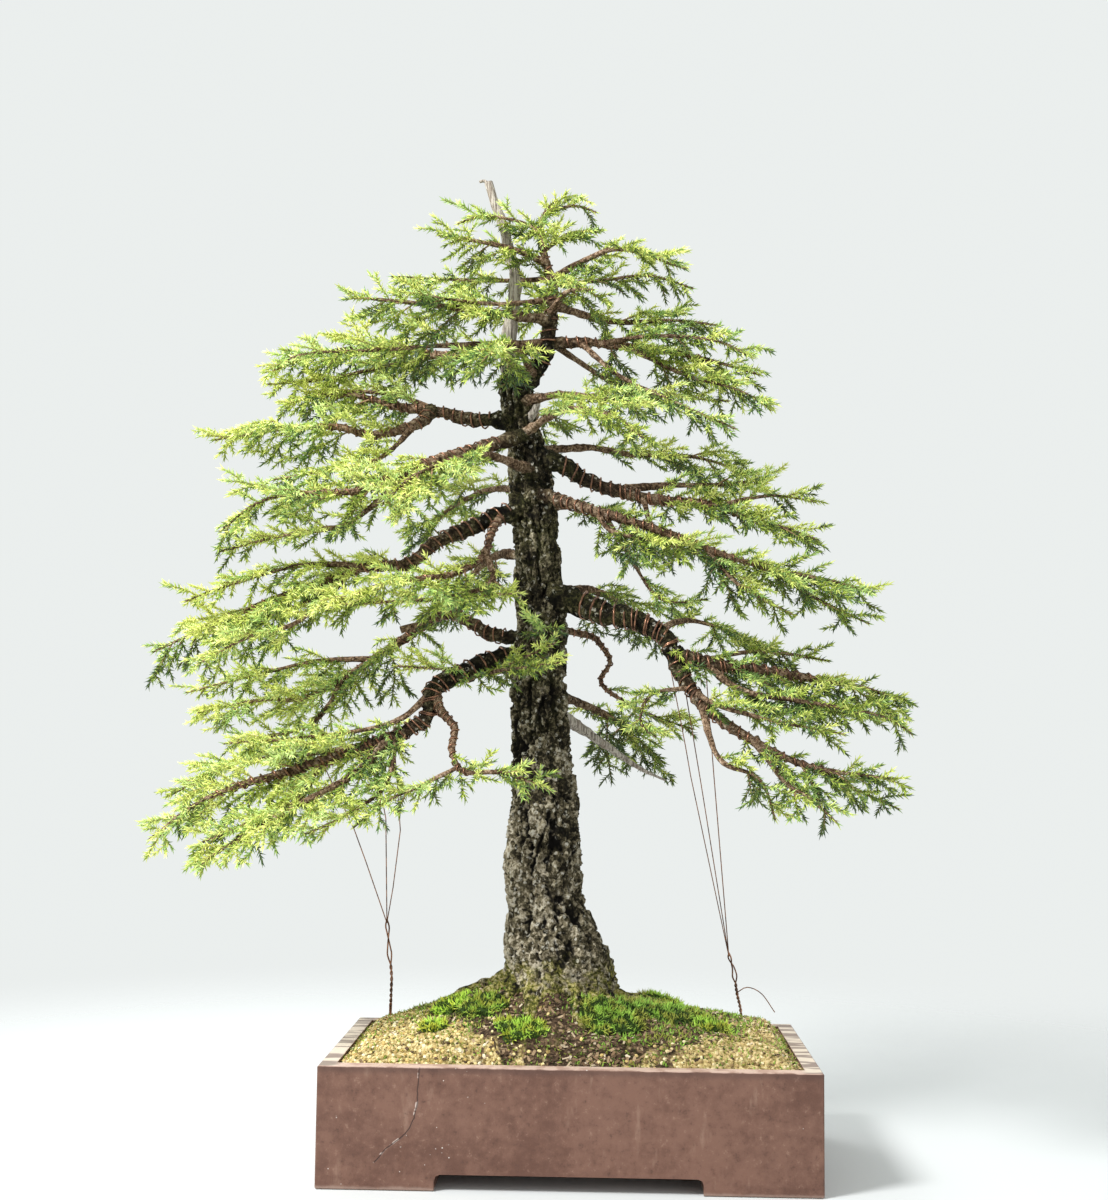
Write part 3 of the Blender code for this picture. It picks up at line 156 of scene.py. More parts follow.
# Living branches: the group of its foliage, its radius at the trunk, how far its side twigs stand out, the
# share of its length that is bare, and its route to the furthest needle
Branch = namedtuple("Branch", "name group thick reach bare route")
BRANCHES = (
    Branch("leader", "crown", 0.0135, 0.050, 0.46, metres((
        (-68, -2, 826), (-50, -6, 850), (-37, -8, 870), (-31, -8, 908), (-29, -6, 943), (-39, -4, 983),
        (-43, -4, 1022), (-22, -6, 1050)))),
    Branch("lower_left", "low_left", 0.0140, 0.105, 0.36, metres((
        (-45, -5, 530), (-89, -20, 526), (-149, -40, 497), (-161, -48, 461), (-238, -55, 427),
        (-293, -60, 409), (-386, -60, 378), (-456, -51, 328)))),
    Branch("lower_left_drop", "low_left", 0.0055, 0.036, 0.50, metres((
        (-149, -40, 495), (-143, -55, 474), (-125, -72, 455), (-126, -86, 430), (-112, -98, 409),
        (-70, -105, 408), (-14, -98, 388)))),
    Branch("lower_left_low", "low_left", 0.0058, 0.070, 0.16, metres((
        (-193, -51, 446), (-222, -80, 410), (-276, -108, 376), (-334, -122, 342), (-386, -125, 306)))),
    Branch("second_left", "low_left", 0.0090, 0.095, 0.40, metres((
        (-45, 10, 553), (-96, 30, 560), (-147, 50, 584), (-203, 70, 552), (-259, 85, 517), (-312, 92, 488),
        (-365, 90, 485), (-440, 72, 468)))),
    Branch("third_left", "middle_left", 0.0110, 0.100, 0.38, metres((
        (-50, -10, 702), (-105, -25, 676), (-150, -40, 654), (-180, -45, 630), (-225, -50, 626),
        (-265, -50, 611), (-332, -45, 587), (-397, -35, 561), (-466, -26, 530)))),
    Branch("third_left_front", "middle_left", 0.0050, 0.075, 0.34, metres((
        (-80, -18, 690), (-92, -40, 664), (-98, -62, 636), (-130, -100, 612), (-190, -130, 601),
        (-262, -140, 572)))),
    Branch("fourth_left", "upper_left", 0.0100, 0.085, 0.42, metres((
        (-70, 0, 796), (-120, 10, 798), (-150, 15, 807), (-204, 25, 816), (-262, 40, 832),
        (-330, 45, 826)))),
    Branch("fourth_left_low", "upper_left", 0.0070, 0.085, 0.20, metres((
        (-165, 14, 808), (-180, -4, 789), (-228, -12, 776), (-264, -20, 783), (-330, -20, 780),
        (-412, -11, 768)))),
    Branch("fifth_left", "middle_left", 0.0080, 0.090, 0.30, metres((
        (-60, -15, 775), (-109, -50, 754), (-167, -80, 730), (-223, -95, 702), (-268, -98, 698),
        (-330, -92, 690), (-382, -82, 654)))),
    Branch("sixth_left", "upper_left", 0.0075, 0.090, 0.26, metres((
        (-38, 10, 880), (-108, 35, 882), (-140, 42, 878), (-220, 48, 887), (-290, 45, 883),
        (-356, 35, 856)))),
    Branch("seventh_left", "crown", 0.0065, 0.080, 0.22, metres((
        (-33, -14, 905), (-106, -45, 907), (-170, -62, 910), (-208, -62, 914), (-254, -52, 921)))),
    Branch("top_left", "crown", 0.0045, 0.060, 0.15, metres((
        (-36, -6, 972), (-70, -22, 982), (-108, -32, 988), (-162, -30, 997)))),
    Branch("lower_right", "low_right", 0.0155, 0.095, 0.42, metres((
        (-30, -10, 600), (5, -20, 590), (33, -30, 578), (69, -36, 570), (97, -42, 553), (106, -46, 536),
        (142, -50, 525), (192, -52, 519), (232, -48, 513), (300, -42, 502), (357, -37, 486)))),
    Branch("lower_right_back", "low_right", 0.0042, 0.075, 0.30, metres((
        (88, -38, 560), (116, 0, 574), (155, 40, 571), (229, 70, 545)))),
    Branch("lower_right_mid", "low_right", 0.0095, 0.080, 0.50, metres((
        (104, -45, 540), (115, -52, 510), (138, -70, 478), (170, -86, 453), (220, -96, 426),
        (262, -98, 414), (338, -91, 406)))),
    Branch("lower_right_drop", "low_right", 0.0048, 0.040, 0.50, metres((
        (134, -66, 484), (140, -98, 446), (153, -118, 421), (189, -128, 404), (206, -125, 358)))),
    Branch("lower_right_low", "low_right", 0.0045, 0.050, 0.40, metres((
        (186, -89, 446), (215, -118, 402), (236, -138, 388), (270, -142, 357)))),
    Branch("thin_right", "low_right", 0.0045, 0.045, 0.58, metres((
        (-30, 20, 566), (15, 42, 559), (25, 45, 552), (38, 50, 531), (27, 56, 509), (48, 62, 490),
        (90, 80, 470), (140, 110, 455)))),
    Branch("third_right", "middle_right", 0.0110, 0.090, 0.42, metres((
        (-45, 0, 752), (-15, 0, 744), (14, 5, 727), (61, 0, 713), (87, -10, 706), (140, -18, 700),
        (202, -28, 680), (236, -30, 669), (267, -30, 658)))),
    Branch("third_right_high", "middle_right", 0.0060, 0.060, 0.30, metres((
        (42, 4, 718), (98, 30, 728), (169, 44, 732), (231, 47, 743)))),
    Branch("third_right_back", "middle_right", 0.0060, 0.080, 0.36, metres((
        (-56, 6, 762), (13, 60, 776), (60, 92, 774), (137, 118, 776), (215, 122, 752)))),
    Branch("fourth_right", "middle_right", 0.0075, 0.090, 0.34, metres((
        (-45, -16, 712), (2, -60, 691), (37, -78, 679), (89, -92, 661), (155, -98, 635), (208, -98, 620),
        (265, -92, 610), (319, -82, 597)))),
    Branch("middle_right", "upper_right", 0.0060, 0.055, 0.36, metres((
        (-58, -10, 815), (-20, -45, 815), (20, -70, 806), (90, -90, 796)))),
    Branch("fifth_right", "upper_right", 0.0070, 0.080, 0.28, metres((
        (-36, -4, 882), (14, -10, 881), (56, -18, 874), (100, -24, 868), (150, -26, 856),
        (207, -23, 840)))),
    Branch("sixth_right", "upper_right", 0.0055, 0.070, 0.26, metres((
        (-31, -6, 925), (20, 32, 919), (56, 44, 918), (110, 50, 922), (168, 46, 914)))),
    Branch("seventh_right", "crown", 0.0045, 0.060, 0.22, metres((
        (-31, -10, 952), (10, -30, 970), (50, -38, 978), (124, -36, 954)))),
    Branch("top_right", "crown", 0.0032, 0.045, 0.15, metres((
        (-39, -4, 988), (-10, 6, 1010), (29, 8, 1012)))),
    Branch("back_low", "back_low", 0.0080, 0.090, 0.36, metres((
        (-34, 20, 492), (0, 80, 486), (50, 160, 462), (85, 265, 420)))),
    Branch("back_left", "back_low", 0.0080, 0.090, 0.34, metres((
        (-45, 16, 640), (-90, 90, 656), (-130, 180, 640), (-175, 285, 590)))),
    Branch("back_right", "back_low", 0.0075, 0.090, 0.34, metres((
        (-38, 16, 600), (10, 90, 616), (60, 180, 602), (105, 270, 560)))),
    Branch("back_high", "back_high", 0.0060, 0.080, 0.30, metres((
        (-60, 12, 800), (-50, 80, 818), (-60, 150, 812), (-45, 225, 780)))),
    Branch("back_top", "back_high", 0.0042, 0.060, 0.28, metres((
        (-30, -6, 938), (-40, 60, 950), (-50, 130, 940)))),
    Branch("back_mid_left", "back_high", 0.0060, 0.085, 0.34, metres((
        (-45, 12, 715), (-100, 90, 732), (-160, 160, 716), (-200, 232, 680)))),
    Branch("back_mid_right", "back_high", 0.0060, 0.085, 0.34, metres((
        (-45, 12, 700), (0, 90, 712), (60, 165, 702), (100, 240, 665)))),
    Branch("front_left", "front", 0.0060, 0.080, 0.36, metres((
        (-52, -14, 738), (-100, -100, 738), (-155, -185, 704), (-185, -250, 660)))),
    Branch("front_right", "front", 0.0055, 0.070, 0.38, metres((
        (-60, -10, 780), (-12, -100, 786), (36, -180, 765), (70, -240, 728)))),
    Branch("front_small", "front", 0.0026, 0.030, 0.36, metres((
        (-38, 0, 558), (-36, -106, 562)))),
    Branch("front_high", "front", 0.0055, 0.070, 0.34, metres((
        (-52, -12, 845), (-60, -80, 852), (-80, -150, 842), (-85, -215, 815)))),
    Branch("front_top", "front", 0.0042, 0.055, 0.28, metres((
        (-31, -12, 915), (-10, -60, 925), (20, -135, 905)))),
)

# Smaller limbs that leave the branches or the leader, each with a pad of its own
Limb = namedtuple("Limb", "group thick reach bare route")
SIDE_LIMBS = (
    Limb("crown", 0.0035, 0.050, 0.18, metres((
        (-32, -5, 954), (-90, 22, 960), (-159, 32, 965), (-222, 32, 968)))),
    Limb("crown", 0.0035, 0.050, 0.18, metres((
        (-30, -7, 930), (-86, -40, 916), (-138, -62, 915), (-194, -64, 924)))),
    Limb("crown", 0.0026, 0.036, 0.15, metres((
        (-42, -4, 1008), (-66, -12, 1017), (-108, -18, 1022), (-142, -18, 1010)))),
    Limb("crown", 0.0022, 0.030, 0.10, metres((
        (-35, -5, 1032), (-4, 2, 1040), (25, 6, 1031)))),
    Limb("crown", 0.0032, 0.042, 0.20, metres((
        (-30, -6, 948), (23, 25, 961), (80, 36, 970), (136, 36, 953)))),
    Limb("crown", 0.0024, 0.036, 0.15, metres((
        (-42, -4, 1008), (-54, -30, 1008), (-42, -60, 987), (-36, -80, 964)))),
    Limb("middle_left", 0.0030, 0.034, 0.10, metres((
        (-190, -20, 560), (-164, -22, 569), (-134, -55, 584), (-99, -85, 592), (-58, -112, 592)))),
    Limb("low_left", 0.0028, 0.034, 0.10, metres((
        (-113, -30, 508), (-85, -60, 514), (-57, -85, 517), (-5, -112, 523)))),
    Limb("low_left", 0.0026, 0.030, 0.10, metres((
        (-81, -35, 519), (-47, -75, 531), (-12, -100, 546)))),
    Limb("upper_left", 0.0045, 0.055, 0.22, metres((
        (-35, -8, 881), (-138, -52, 867), (-212, -72, 857), (-286, -76, 852), (-317, -72, 844)))),
    Limb("upper_left", 0.0035, 0.045, 0.15, metres((
        (-155, 16, 808), (-204, 36, 830), (-273, 46, 837), (-351, 46, 822)))),
    Limb("upper_left", 0.0035, 0.045, 0.22, metres((
        (-178, -2, 792), (-214, -40, 745), (-266, -52, 730), (-339, -52, 717)))),
    Limb("upper_left", 0.0032, 0.045, 0.12, metres((
        (-159, 43, 880), (-229, 50, 866), (-298, 56, 853), (-366, 56, 847)))),
    Limb("middle_left", 0.0040, 0.050, 0.24, metres((
        (-174, -82, 726), (-238, -86, 669), (-310, -90, 653), (-381, -86, 635)))),
    Limb("middle_left", 0.0040, 0.050, 0.22, metres((
        (-200, -47, 628), (-294, -60, 625), (-366, -72, 603), (-421, -72, 582)))),
    Limb("middle_left", 0.0040, 0.055, 0.12, metres((
        (-97, -58, 642), (-87, -82, 607), (-128, -112, 588), (-178, -130, 582), (-260, -140, 575)))),
    Limb("middle_left", 0.0036, 0.048, 0.22, metres((
        (-242, -50, 619), (-289, -80, 565), (-348, -96, 542), (-406, -96, 508)))),
    Limb("middle_left", 0.0034, 0.045, 0.25, metres((
        (-254, -50, 615), (-294, 0, 594), (-366, 30, 571), (-436, 40, 551)))),
    Limb("low_left", 0.0036, 0.048, 0.16, metres((
        (-233, 78, 533), (-297, 90, 531), (-373, 96, 514), (-459, 92, 491)))),
    Limb("low_left", 0.0036, 0.048, 0.25, metres((
        (-271, 87, 510), (-283, 72, 479), (-313, 60, 452), (-404, 50, 433)))),
    Limb("low_left", 0.0040, 0.050, 0.25, metres((
        (-150, -41, 495), (-194, -62, 458), (-287, -76, 442), (-367, -82, 435)))),
    Limb("low_left", 0.0026, 0.034, 0.10, metres((
        (-107, -26, 517), (-153, -60, 517), (-196, -72, 519)))),
    Limb("low_left", 0.0036, 0.048, 0.22, metres((
        (-228, -54, 432), (-304, -40, 423), (-370, -30, 412), (-445, -24, 374)))),
    Limb("low_left", 0.0036, 0.048, 0.20, metres((
        (-269, -58, 417), (-283, -90, 380), (-329, -112, 356), (-395, -118, 327)))),
    Limb("low_left", 0.0034, 0.046, 0.26, metres((
        (-187, -50, 450), (-195, -90, 394), (-233, -106, 363), (-282, -112, 340)))),
    Limb("low_left", 0.0026, 0.036, 0.08, metres((
        (-116, -94, 415), (-157, -102, 394), (-193, -102, 377), (-231, -96, 346)))),
    Limb("upper_right", 0.0034, 0.046, 0.18, metres((
        (25, -12, 879), (78, -42, 880), (147, -56, 872), (194, -56, 850)))),
    Limb("upper_right", 0.0034, 0.046, 0.14, metres((
        (56, -18, 874), (111, -42, 840), (175, -52, 818), (214, -52, 793)))),
    Limb("upper_right", 0.0036, 0.048, 0.26, metres((
        (2, -9, 881), (46, -50, 834), (99, -66, 805), (176, -66, 771)))),
    Limb("upper_right", 0.0038, 0.048, 0.28, metres((
        (-35, -8, 884), (47, 52, 846), (110, 72, 839), (180, 82, 835)))),
    Limb("middle_right", 0.0030, 0.040, 0.15, metres((
        (148, -19, 697), (212, -4, 712), (270, 6, 706)))),
    Limb("middle_right", 0.0034, 0.046, 0.14, metres((
        (22, -70, 684), (38, -92, 660), (83, -102, 649), (134, -106, 632)))),
    Limb("middle_right", 0.0034, 0.046, 0.26, metres((
        (72, -4, 710), (85, -40, 669), (127, -56, 650), (182, -60, 632)))),
    Limb("middle_right", 0.0030, 0.040, 0.16, metres((
        (133, -96, 644), (170, -112, 602), (231, -112, 569)))),
    Limb("middle_right", 0.0030, 0.040, 0.14, metres((
        (196, -98, 624), (256, -80, 590), (314, -74, 564)))),
    Limb("middle_right", 0.0028, 0.034, 0.34, metres((
        (29, -74, 682), (59, -84, 631), (91, -78, 590), (146, -70, 592)))),
    Limb("low_right", 0.0032, 0.042, 0.22, metres((
        (132, -49, 528), (199, -20, 540), (282, -8, 530)))),
    Limb("low_right", 0.0042, 0.050, 0.18, metres((
        (137, -49, 526), (174, -80, 496), (233, -92, 485), (315, -92, 471), (355, -86, 448)))),
    Limb("low_right", 0.0036, 0.048, 0.18, metres((
        (127, -61, 494), (150, -102, 479), (211, -108, 463), (284, -106, 450)))),
    Limb("low_right", 0.0026, 0.036, 0.16, metres((
        (123, -58, 499), (81, -84, 491), (69, -88, 462), (91, -86, 442)))),
    Limb("low_right", 0.0038, 0.048, 0.26, metres((
        (180, -52, 520), (225, 20, 499), (295, 50, 476), (369, 60, 467)))),
    Limb("low_right", 0.0028, 0.038, 0.12, metres((
        (234, -97, 422), (285, -82, 398), (343, -76, 372)))),
)
GROUPS = ("low_left", "middle_left", "upper_left", "low_right", "middle_right", "upper_right", "crown",
          "back_low", "back_high", "front")

# The radius of a branch's end, the power of its taper, and the radius from which its bark is fully grey
BRANCH_TIP = 0.0011
BRANCH_TAPER = 0.8
OLD_WOOD = 0.0100

# How far the wood and the leafy stems stop before the end of a route, and the distance between the rings of
# limbs that are thicker than THICK_WOOD and of the others
WOOD_END = 0.007
LEAF_END = 0.0085
THICK_WOOD = 0.005
RING_STEPS = (0.0044, 0.0065)

# Radii of the leafy tip of a branch, of its side twigs and of their shoots, at both ends. Stems end where
# their needles would leave the packed model's box, or rise above LIVE_TOP, where only the dead leader stands.
TIP_RADII = (0.0011, 0.0006)
TWIG_RADII = (0.0013, 0.0006)
SHOOT_RADII = (0.0008, 0.0005)
SHORT_NEEDLES = 0.92
STEM_ROOM = 0.0090
LIVE_TOP = 1.051

# Training wires: the branch, the stretch that is wound, the pitch of the turns and the wire's radius
COILS = (
    ("lower_left", 0.07, 0.80, 0.0125, 0.00115), ("lower_left", 0.20, 0.55, 0.0170, 0.00095),
    ("lower_left_drop", 0.05, 0.55, 0.0085, 0.00080), ("second_left", 0.08, 0.72, 0.0120, 0.00095),
    ("third_left", 0.06, 0.80, 0.0125, 0.00110), ("third_left_front", 0.04, 0.60, 0.0090, 0.00085),
    ("fourth_left", 0.10, 0.70, 0.0110, 0.00100), ("fourth_left_low", 0.03, 0.60, 0.0100, 0.00085),
    ("fifth_left", 0.10, 0.70, 0.0110, 0.00090), ("sixth_left", 0.08, 0.65, 0.0115, 0.00085),
    ("lower_right", 0.09, 0.78, 0.0120, 0.00120), ("lower_right", 0.22, 0.62, 0.0165, 0.00095),
    ("lower_right_mid", 0.04, 0.72, 0.0105, 0.00095), ("thin_right", 0.10, 0.70, 0.0080, 0.00075),
    ("third_right", 0.08, 0.80, 0.0115, 0.00110), ("third_right", 0.25, 0.60, 0.0155, 0.00090),
    ("fourth_right", 0.08, 0.74, 0.0100, 0.00095), ("fifth_right", 0.08, 0.70, 0.0105, 0.00085),
    ("leader", 0.10, 0.80, 0.0120, 0.00100),
)
COIL_STEPS = 9
COIL_SEAT = 0.35

# Guy wires. A strand ends bent round its branch, at a share of that branch's length.
LEFT_GUY = metres((
    (-207, 85, 112), (-207, 85, 136), (-205, 72, 161), (-204, 64, 180), (-206, 52, 212), (-207, 40, 243)))
LEFT_STRANDS = (
    ("lower_left", 0.450, metres(((-204, -8, 356),))),
    ("lower_left", 0.560, metres(((-227, 10, 307), (-238, -12, 345)))),
    ("lower_left", 0.400, metres(((-199, 25, 279), (-189, 0, 343)))),
)
RIGHT_GUY = metres((
    (189, 104, 112), (189, 104, 138), (184, 98, 160), (180, 92, 186), (176, 88, 196), (174, 85, 206)))
RIGHT_STRANDS = (
    ("lower_right_mid", 0.175, metres(((138, 10, 395),))),
    ("lower_right", 0.470, metres(((152, 14, 405),))),
    ("lower_right", 0.380, metres(((126, 2, 405), (119, -20, 438)))),
)
GUY_TAIL = metres((
    (184, 98, 160), (196, 99, 166), (212, 100, 159), (228, 110, 137)))
GUY_RADIUS = 0.0009
STRAND_RADIUS = 0.0006
LOOP_RADIUS = 0.0024
HOOK_STEPS = 18

# Moss: place, half sizes, how fresh and how lit its green is, and the packed cushion that it stands for
Cushion = namedtuple("Cushion", "name place size fresh node")
# Besides freshness, these numbers paint light and shade: cushions on the left are painted lighter, and those
# right of the trunk under the crown darker.
CUSHIONS = (
    Cushion("moss_cushion_front_left", (-0.092, -0.050), (0.027, 0.020, 0.009), 0.45, "moss_front_left"),
    Cushion("moss_cushion_front", (-0.050, -0.092), (0.028, 0.015, 0.007), 0.65, "moss_front"),
    Cushion("moss_cushion_front_right", (0.040, -0.070), (0.038, 0.023, 0.009), 0.35, "moss_front_right"),
    Cushion("moss_cushion_left", (-0.126, -0.030), (0.023, 0.020, 0.008), 0.95, ""),
    Cushion("moss_cushion_far_left", (-0.142, -0.072), (0.015, 0.011, 0.006), 0.80, ""),
    Cushion("moss_cushion_foot", (0.060, -0.030), (0.036, 0.024, 0.006), 0.20, ""),
    Cushion("moss_cushion_foot_front", (0.030, -0.060), (0.030, 0.018, 0.010), 0.30, ""),
    Cushion("moss_cushion_right", (0.108, -0.024), (0.034, 0.028, 0.004), 0.30, ""),
    Cushion("moss_cushion_far_right", (0.146, -0.040), (0.022, 0.018, 0.006), 0.60, ""),
    Cushion("moss_cushion_back_left", (-0.080, 0.070), (0.034, 0.024, 0.011), 0.45, ""),
    Cushion("moss_cushion_back", (0.010, 0.086), (0.040, 0.022, 0.010), 0.35, ""),
    Cushion("moss_cushion_back_right", (0.092, 0.056), (0.030, 0.024, 0.010), 0.50, ""),
)

# The crack in the tray's front, from the rim down: places across and up
CRACK = ((-0.1475, POT_TOP), (-0.1490, 0.102), (-0.1500, 0.086), (-0.1520, 0.070), (-0.1560, 0.061),
         (-0.1650, 0.051), (-0.1800, 0.040), (-0.1910, 0.027))

# The stage: the floor's radius and how far it lies under the tray, and each light's place and size
FLOOR_RADIUS = 2.4
FLOOR_GAP = 0.0004
LIGHTS = (("key", (-1.6, -1.3, 2.2), 0.7), ("fill", (1.9, -1.7, 1.0), 2.2), ("rim", (-1.3, 1.7, 1.8), 1.2))
LIGHT_AIM = 0.55

# Camera: its place, and the directions of its right side, its top and its view
CAMERA_PLACE = Vector((0.0299, -1.7594, 0.4423))
CAMERA_RIGHT = Vector((0.99949607, 0.0299733, 0.01045022))
CAMERA_UP = Vector((-0.00780411, -0.08707843, 0.99617089))
CAMERA_VIEW = Vector((-0.03076852, 0.99575045, 0.08680063))
CAMERA_LENS = 48.276
CAMERA_SENSOR = 36.0


# Node trees written as expressions

class Value:
    """One output of a node. An operator on it adds the Math node for it to the same tree."""

    def __init__(self, nodes, socket):
        self.nodes = nodes
        self.socket = socket

    def other(self, name):
        """Another output of the same node."""
        outputs = self.socket.node.outputs
        return Value(self.nodes, next(item for item in outputs if item.enabled and item.name == name))

    def __add__(self, other):
        return self.nodes.maths("ADD", self, other)

    __radd__ = __add__

    def __sub__(self, other):
        return self.nodes.maths("SUBTRACT", self, other)

    def __rsub__(self, other):
        return self.nodes.maths("SUBTRACT", other, self)

    def __mul__(self, other):
        return self.nodes.maths("MULTIPLY", self, other)

    __rmul__ = __mul__

    def __truediv__(self, other):
        return self.nodes.maths("DIVIDE", self, other)

    def __rtruediv__(self, other):
        return self.nodes.maths("DIVIDE", other, self)


class Nodes:
    """Adds nodes to one shader or geometry tree. Every node comes from make()."""

    def __init__(self, tree):
        self.tree = tree

    def make(self, kind, settings=None, values=None):
        """A node with its settings made first, then the values or links of its sockets."""
        node = self.tree.nodes.new(kind)
        for name, setting in (settings or {}).items():
            if name == "stops":
                set_stops(node.color_ramp, setting)
            else:
                setattr(node, name, setting)
        for name, value in (values or {}).items():
            self.put(node, name, value)
        shown = [item for item in node.outputs if item.enabled]
        return Value(self, shown[0]) if shown else node

    def put(self, node, name, value):
        socket = next(item for item in node.inputs if item.enabled and name in (item.identifier, item.name))
        if isinstance(value, Value):
            self.tree.links.new(value.socket, socket)
        else:
            socket.default_value = value

    def maths(self, operation, first, second=None):
        values = {"Value": first} if second is None else {"Value": first, "Value_001": second}
        return self.make("ShaderNodeMath", {"operation": operation}, values)

    def vectors(self, operation, first, second):
        values = {"Vector": first, "Vector_001": second}
        return self.make("ShaderNodeVectorMath", {"operation": operation}, values)

    def ramp(self, value, low, high):
        """0 at one number and 1 at the other, with a soft step between. The first may be the larger."""
        values = {"Value": value, "From Min": low, "From Max": high}
        if low > high:
            values = {"Value": value, "From Min": high, "From Max": low, "To Min": 1.0, "To Max": 0.0}
        return self.make("ShaderNodeMapRange", {"interpolation_type": "SMOOTHSTEP"}, values)

    def blend(self, factor, first, second):
        """A colour between two."""
        values = {"Factor_Float": factor, "A_Color": first, "B_Color": second}
        return self.make("ShaderNodeMix", {"data_type": "RGBA"}, values)

    def colours(self, value, *stops):
        """A colour from a scale of stops."""
        return self.make("ShaderNodeValToRGB", {"stops": stops}, {"Fac": value})

    def noise(self, place, scale, detail=2.0, roughness=0.55):
        values = {"Vector": place, "Scale": scale, "Detail": detail, "Roughness": roughness}
        return self.make("ShaderNodeTexNoise", None, values)

    def cells(self, place, scale, feature="F1", randomness=1.0):
        values = {"Vector": place, "Scale": scale, "Randomness": randomness}
        return self.make("ShaderNodeTexVoronoi", {"feature": feature}, values)

    def parts(self, vector):
        """The x, y and z of a vector."""
        first = self.make("ShaderNodeSeparateXYZ", None, {"Vector": vector})
        return first, first.other("Y"), first.other("Z")

    def random(self, low, high, seed):
        values = {"Min": low, "Max": high, "Seed": seed}
        return self.make("FunctionNodeRandomValue", {"data_type": "FLOAT"}, values)

    def stored(self, name):
        """A number stored on the geometry under a name."""
        return self.make("GeometryNodeInputNamedAttribute", {"data_type": "FLOAT"}, {"Name": name})

    def store(self, geometry, name, value, domain="POINT"):
        values = {"Geometry": geometry, "Name": name, "Value": value}
        return self.make("GeometryNodeStoreNamedAttribute", {"data_type": "FLOAT", "domain": domain}, values)

    def spun(self, rotation, axis, angle):
        """A rotation turned about one of its own axes."""
        turn = self.make("FunctionNodeAxisAngleToRotation", None, {"Axis": axis, "Angle": angle})
        values = {"Rotation": rotation, "Rotate By": turn}
        return self.make("FunctionNodeRotateRotation", {"rotation_space": "LOCAL"}, values)

    def tubes(self, curves, sides):
        """Closed tubes along curves, as thick as the number stored on them."""
        ring = self.make("GeometryNodeCurvePrimitiveCircle", None, {"Resolution": sides, "Radius": 1.0})
        values = {"Curve": curves, "Profile Curve": ring, "Scale": self.stored("thick"), "Fill Caps": True}
        return self.make("GeometryNodeCurveToMesh", None, values)

    def spike(self):
        """A three-sided spike one unit long, with its height stored along it."""
        values = {"Vertices": 3, "Radius Bottom": 1.0, "Depth": 1.0}
        spike = self.make("GeometryNodeMeshCone", {"fill_type": "NGON"}, values)
        return self.store(spike, "along", self.parts(self.make("GeometryNodeInputPosition"))[2])

    def placed(self, points, piece, rotation, shape, tint, **more):
        """A piece on every point, each with a tint of its own."""
        values = {"Points": points, "Instance": piece, "Rotation": rotation, "Scale": shape, **more}
        return self.store(self.make("GeometryNodeInstanceOnPoints", None, values), "tint", tint, "INSTANCE")

    def pushed(self, geometry, relief):
        """A surface moved out along its normals."""
        values = {"Vector": self.make("GeometryNodeInputNormal"), "Scale": relief}
        offset = self.make("ShaderNodeVectorMath", {"operation": "SCALE"}, values)
        return self.make("GeometryNodeSetPosition", None, {"Geometry": geometry, "Offset": offset})

    def coated(self, geometry, material):
        """Real geometry with a material on all of it."""
        geometry = self.make("GeometryNodeRealizeInstances", None, {"Geometry": geometry})
        return self.make("GeometryNodeSetMaterial", None, {"Geometry": geometry, "Material": material})

    def finish(self, geometry):
        self.make("NodeGroupOutput", None, {"Geometry": geometry})


def set_stops(ramp, stops):
    """Gives a colour ramp its stops, as places and colours."""
    while len(ramp.elements) < len(stops):
        ramp.elements.new(1.0)
    for element, (place, colour) in zip(ramp.elements, stops):
        element.position = place
        element.color = (*colour, 1.0)


def colour(*rgb):
    return (*rgb, 1.0)


def finish_material(name, build, shine=0.5):
    """A material whose shader takes what build gives: the name of each socket with its value or link."""
    material = bpy.data.materials.new(name)
    material.use_nodes = True
    nodes = Nodes(material.node_tree)
    shader = material.node_tree.nodes["Principled BSDF"]
    for key, value in build(nodes).items():
        nodes.put(shader, key, value)
    shader.inputs["Specular IOR Level"].default_value = shine
    return material


def here(nodes):
    """The place on the object, measured from the bottom centre of the tray."""
    place = nodes.make("ShaderNodeTexCoord").other("Object")
    return nodes.vectors("SUBTRACT", place, HOME)


def attribute(nodes, name):
    return nodes.make("ShaderNodeAttribute", {"attribute_name": name}).other("Fac")


def bumped(nodes, height, distance, strength=1.0):
    values = {"Strength": strength, "Distance": distance, "Height": height}
    return nodes.make("ShaderNodeBump", None, values)


# Geometry trees and the meshes that they make

KINDS = {"number": "NodeSocketFloat", "count": "NodeSocketInt", "material": "NodeSocketMaterial"}


def geometry_tree(name, inputs):
    """A new geometry tree, its nodes, its incoming geometry and its named inputs."""
    tree = bpy.data.node_groups.new(name, "GeometryNodeTree")
    tree.interface.new_socket("Geometry", in_out="INPUT", socket_type="NodeSocketGeometry")
    for label, kind in inputs.items():
        tree.interface.new_socket(label, in_out="INPUT", socket_type=KINDS[kind])
    tree.interface.new_socket("Geometry", in_out="OUTPUT", socket_type="NodeSocketGeometry")
    nodes = Nodes(tree)
    entry = nodes.make("NodeGroupInput")
    return nodes, entry, {label: entry.other(label) for label in inputs}


def taken(bm, name):
    """The mesh that was built, under a name."""
    mesh = bpy.data.meshes.new(name)
    bm.to_mesh(mesh)
    bm.free()
    return mesh


def shaped(source, nodes, values):
    """The plain mesh that a geometry tree makes from a source mesh."""
    guide = bpy.data.objects.new(source.name + "_guide", source)
    bpy.context.scene.collection.objects.link(guide)
    modifier = guide.modifiers.new(nodes.tree.name, "NODES")
    modifier.node_group = nodes.tree
    for item in nodes.tree.interface.items_tree:
        if item.in_out == "INPUT" and item.name in values:
            modifier[item.identifier] = values[item.name]
    graph = bpy.context.evaluated_depsgraph_get()
    mesh = bpy.data.meshes.new_from_object(guide.evaluated_get(graph))
    bpy.data.objects.remove(guide, do_unlink=True)
    return mesh


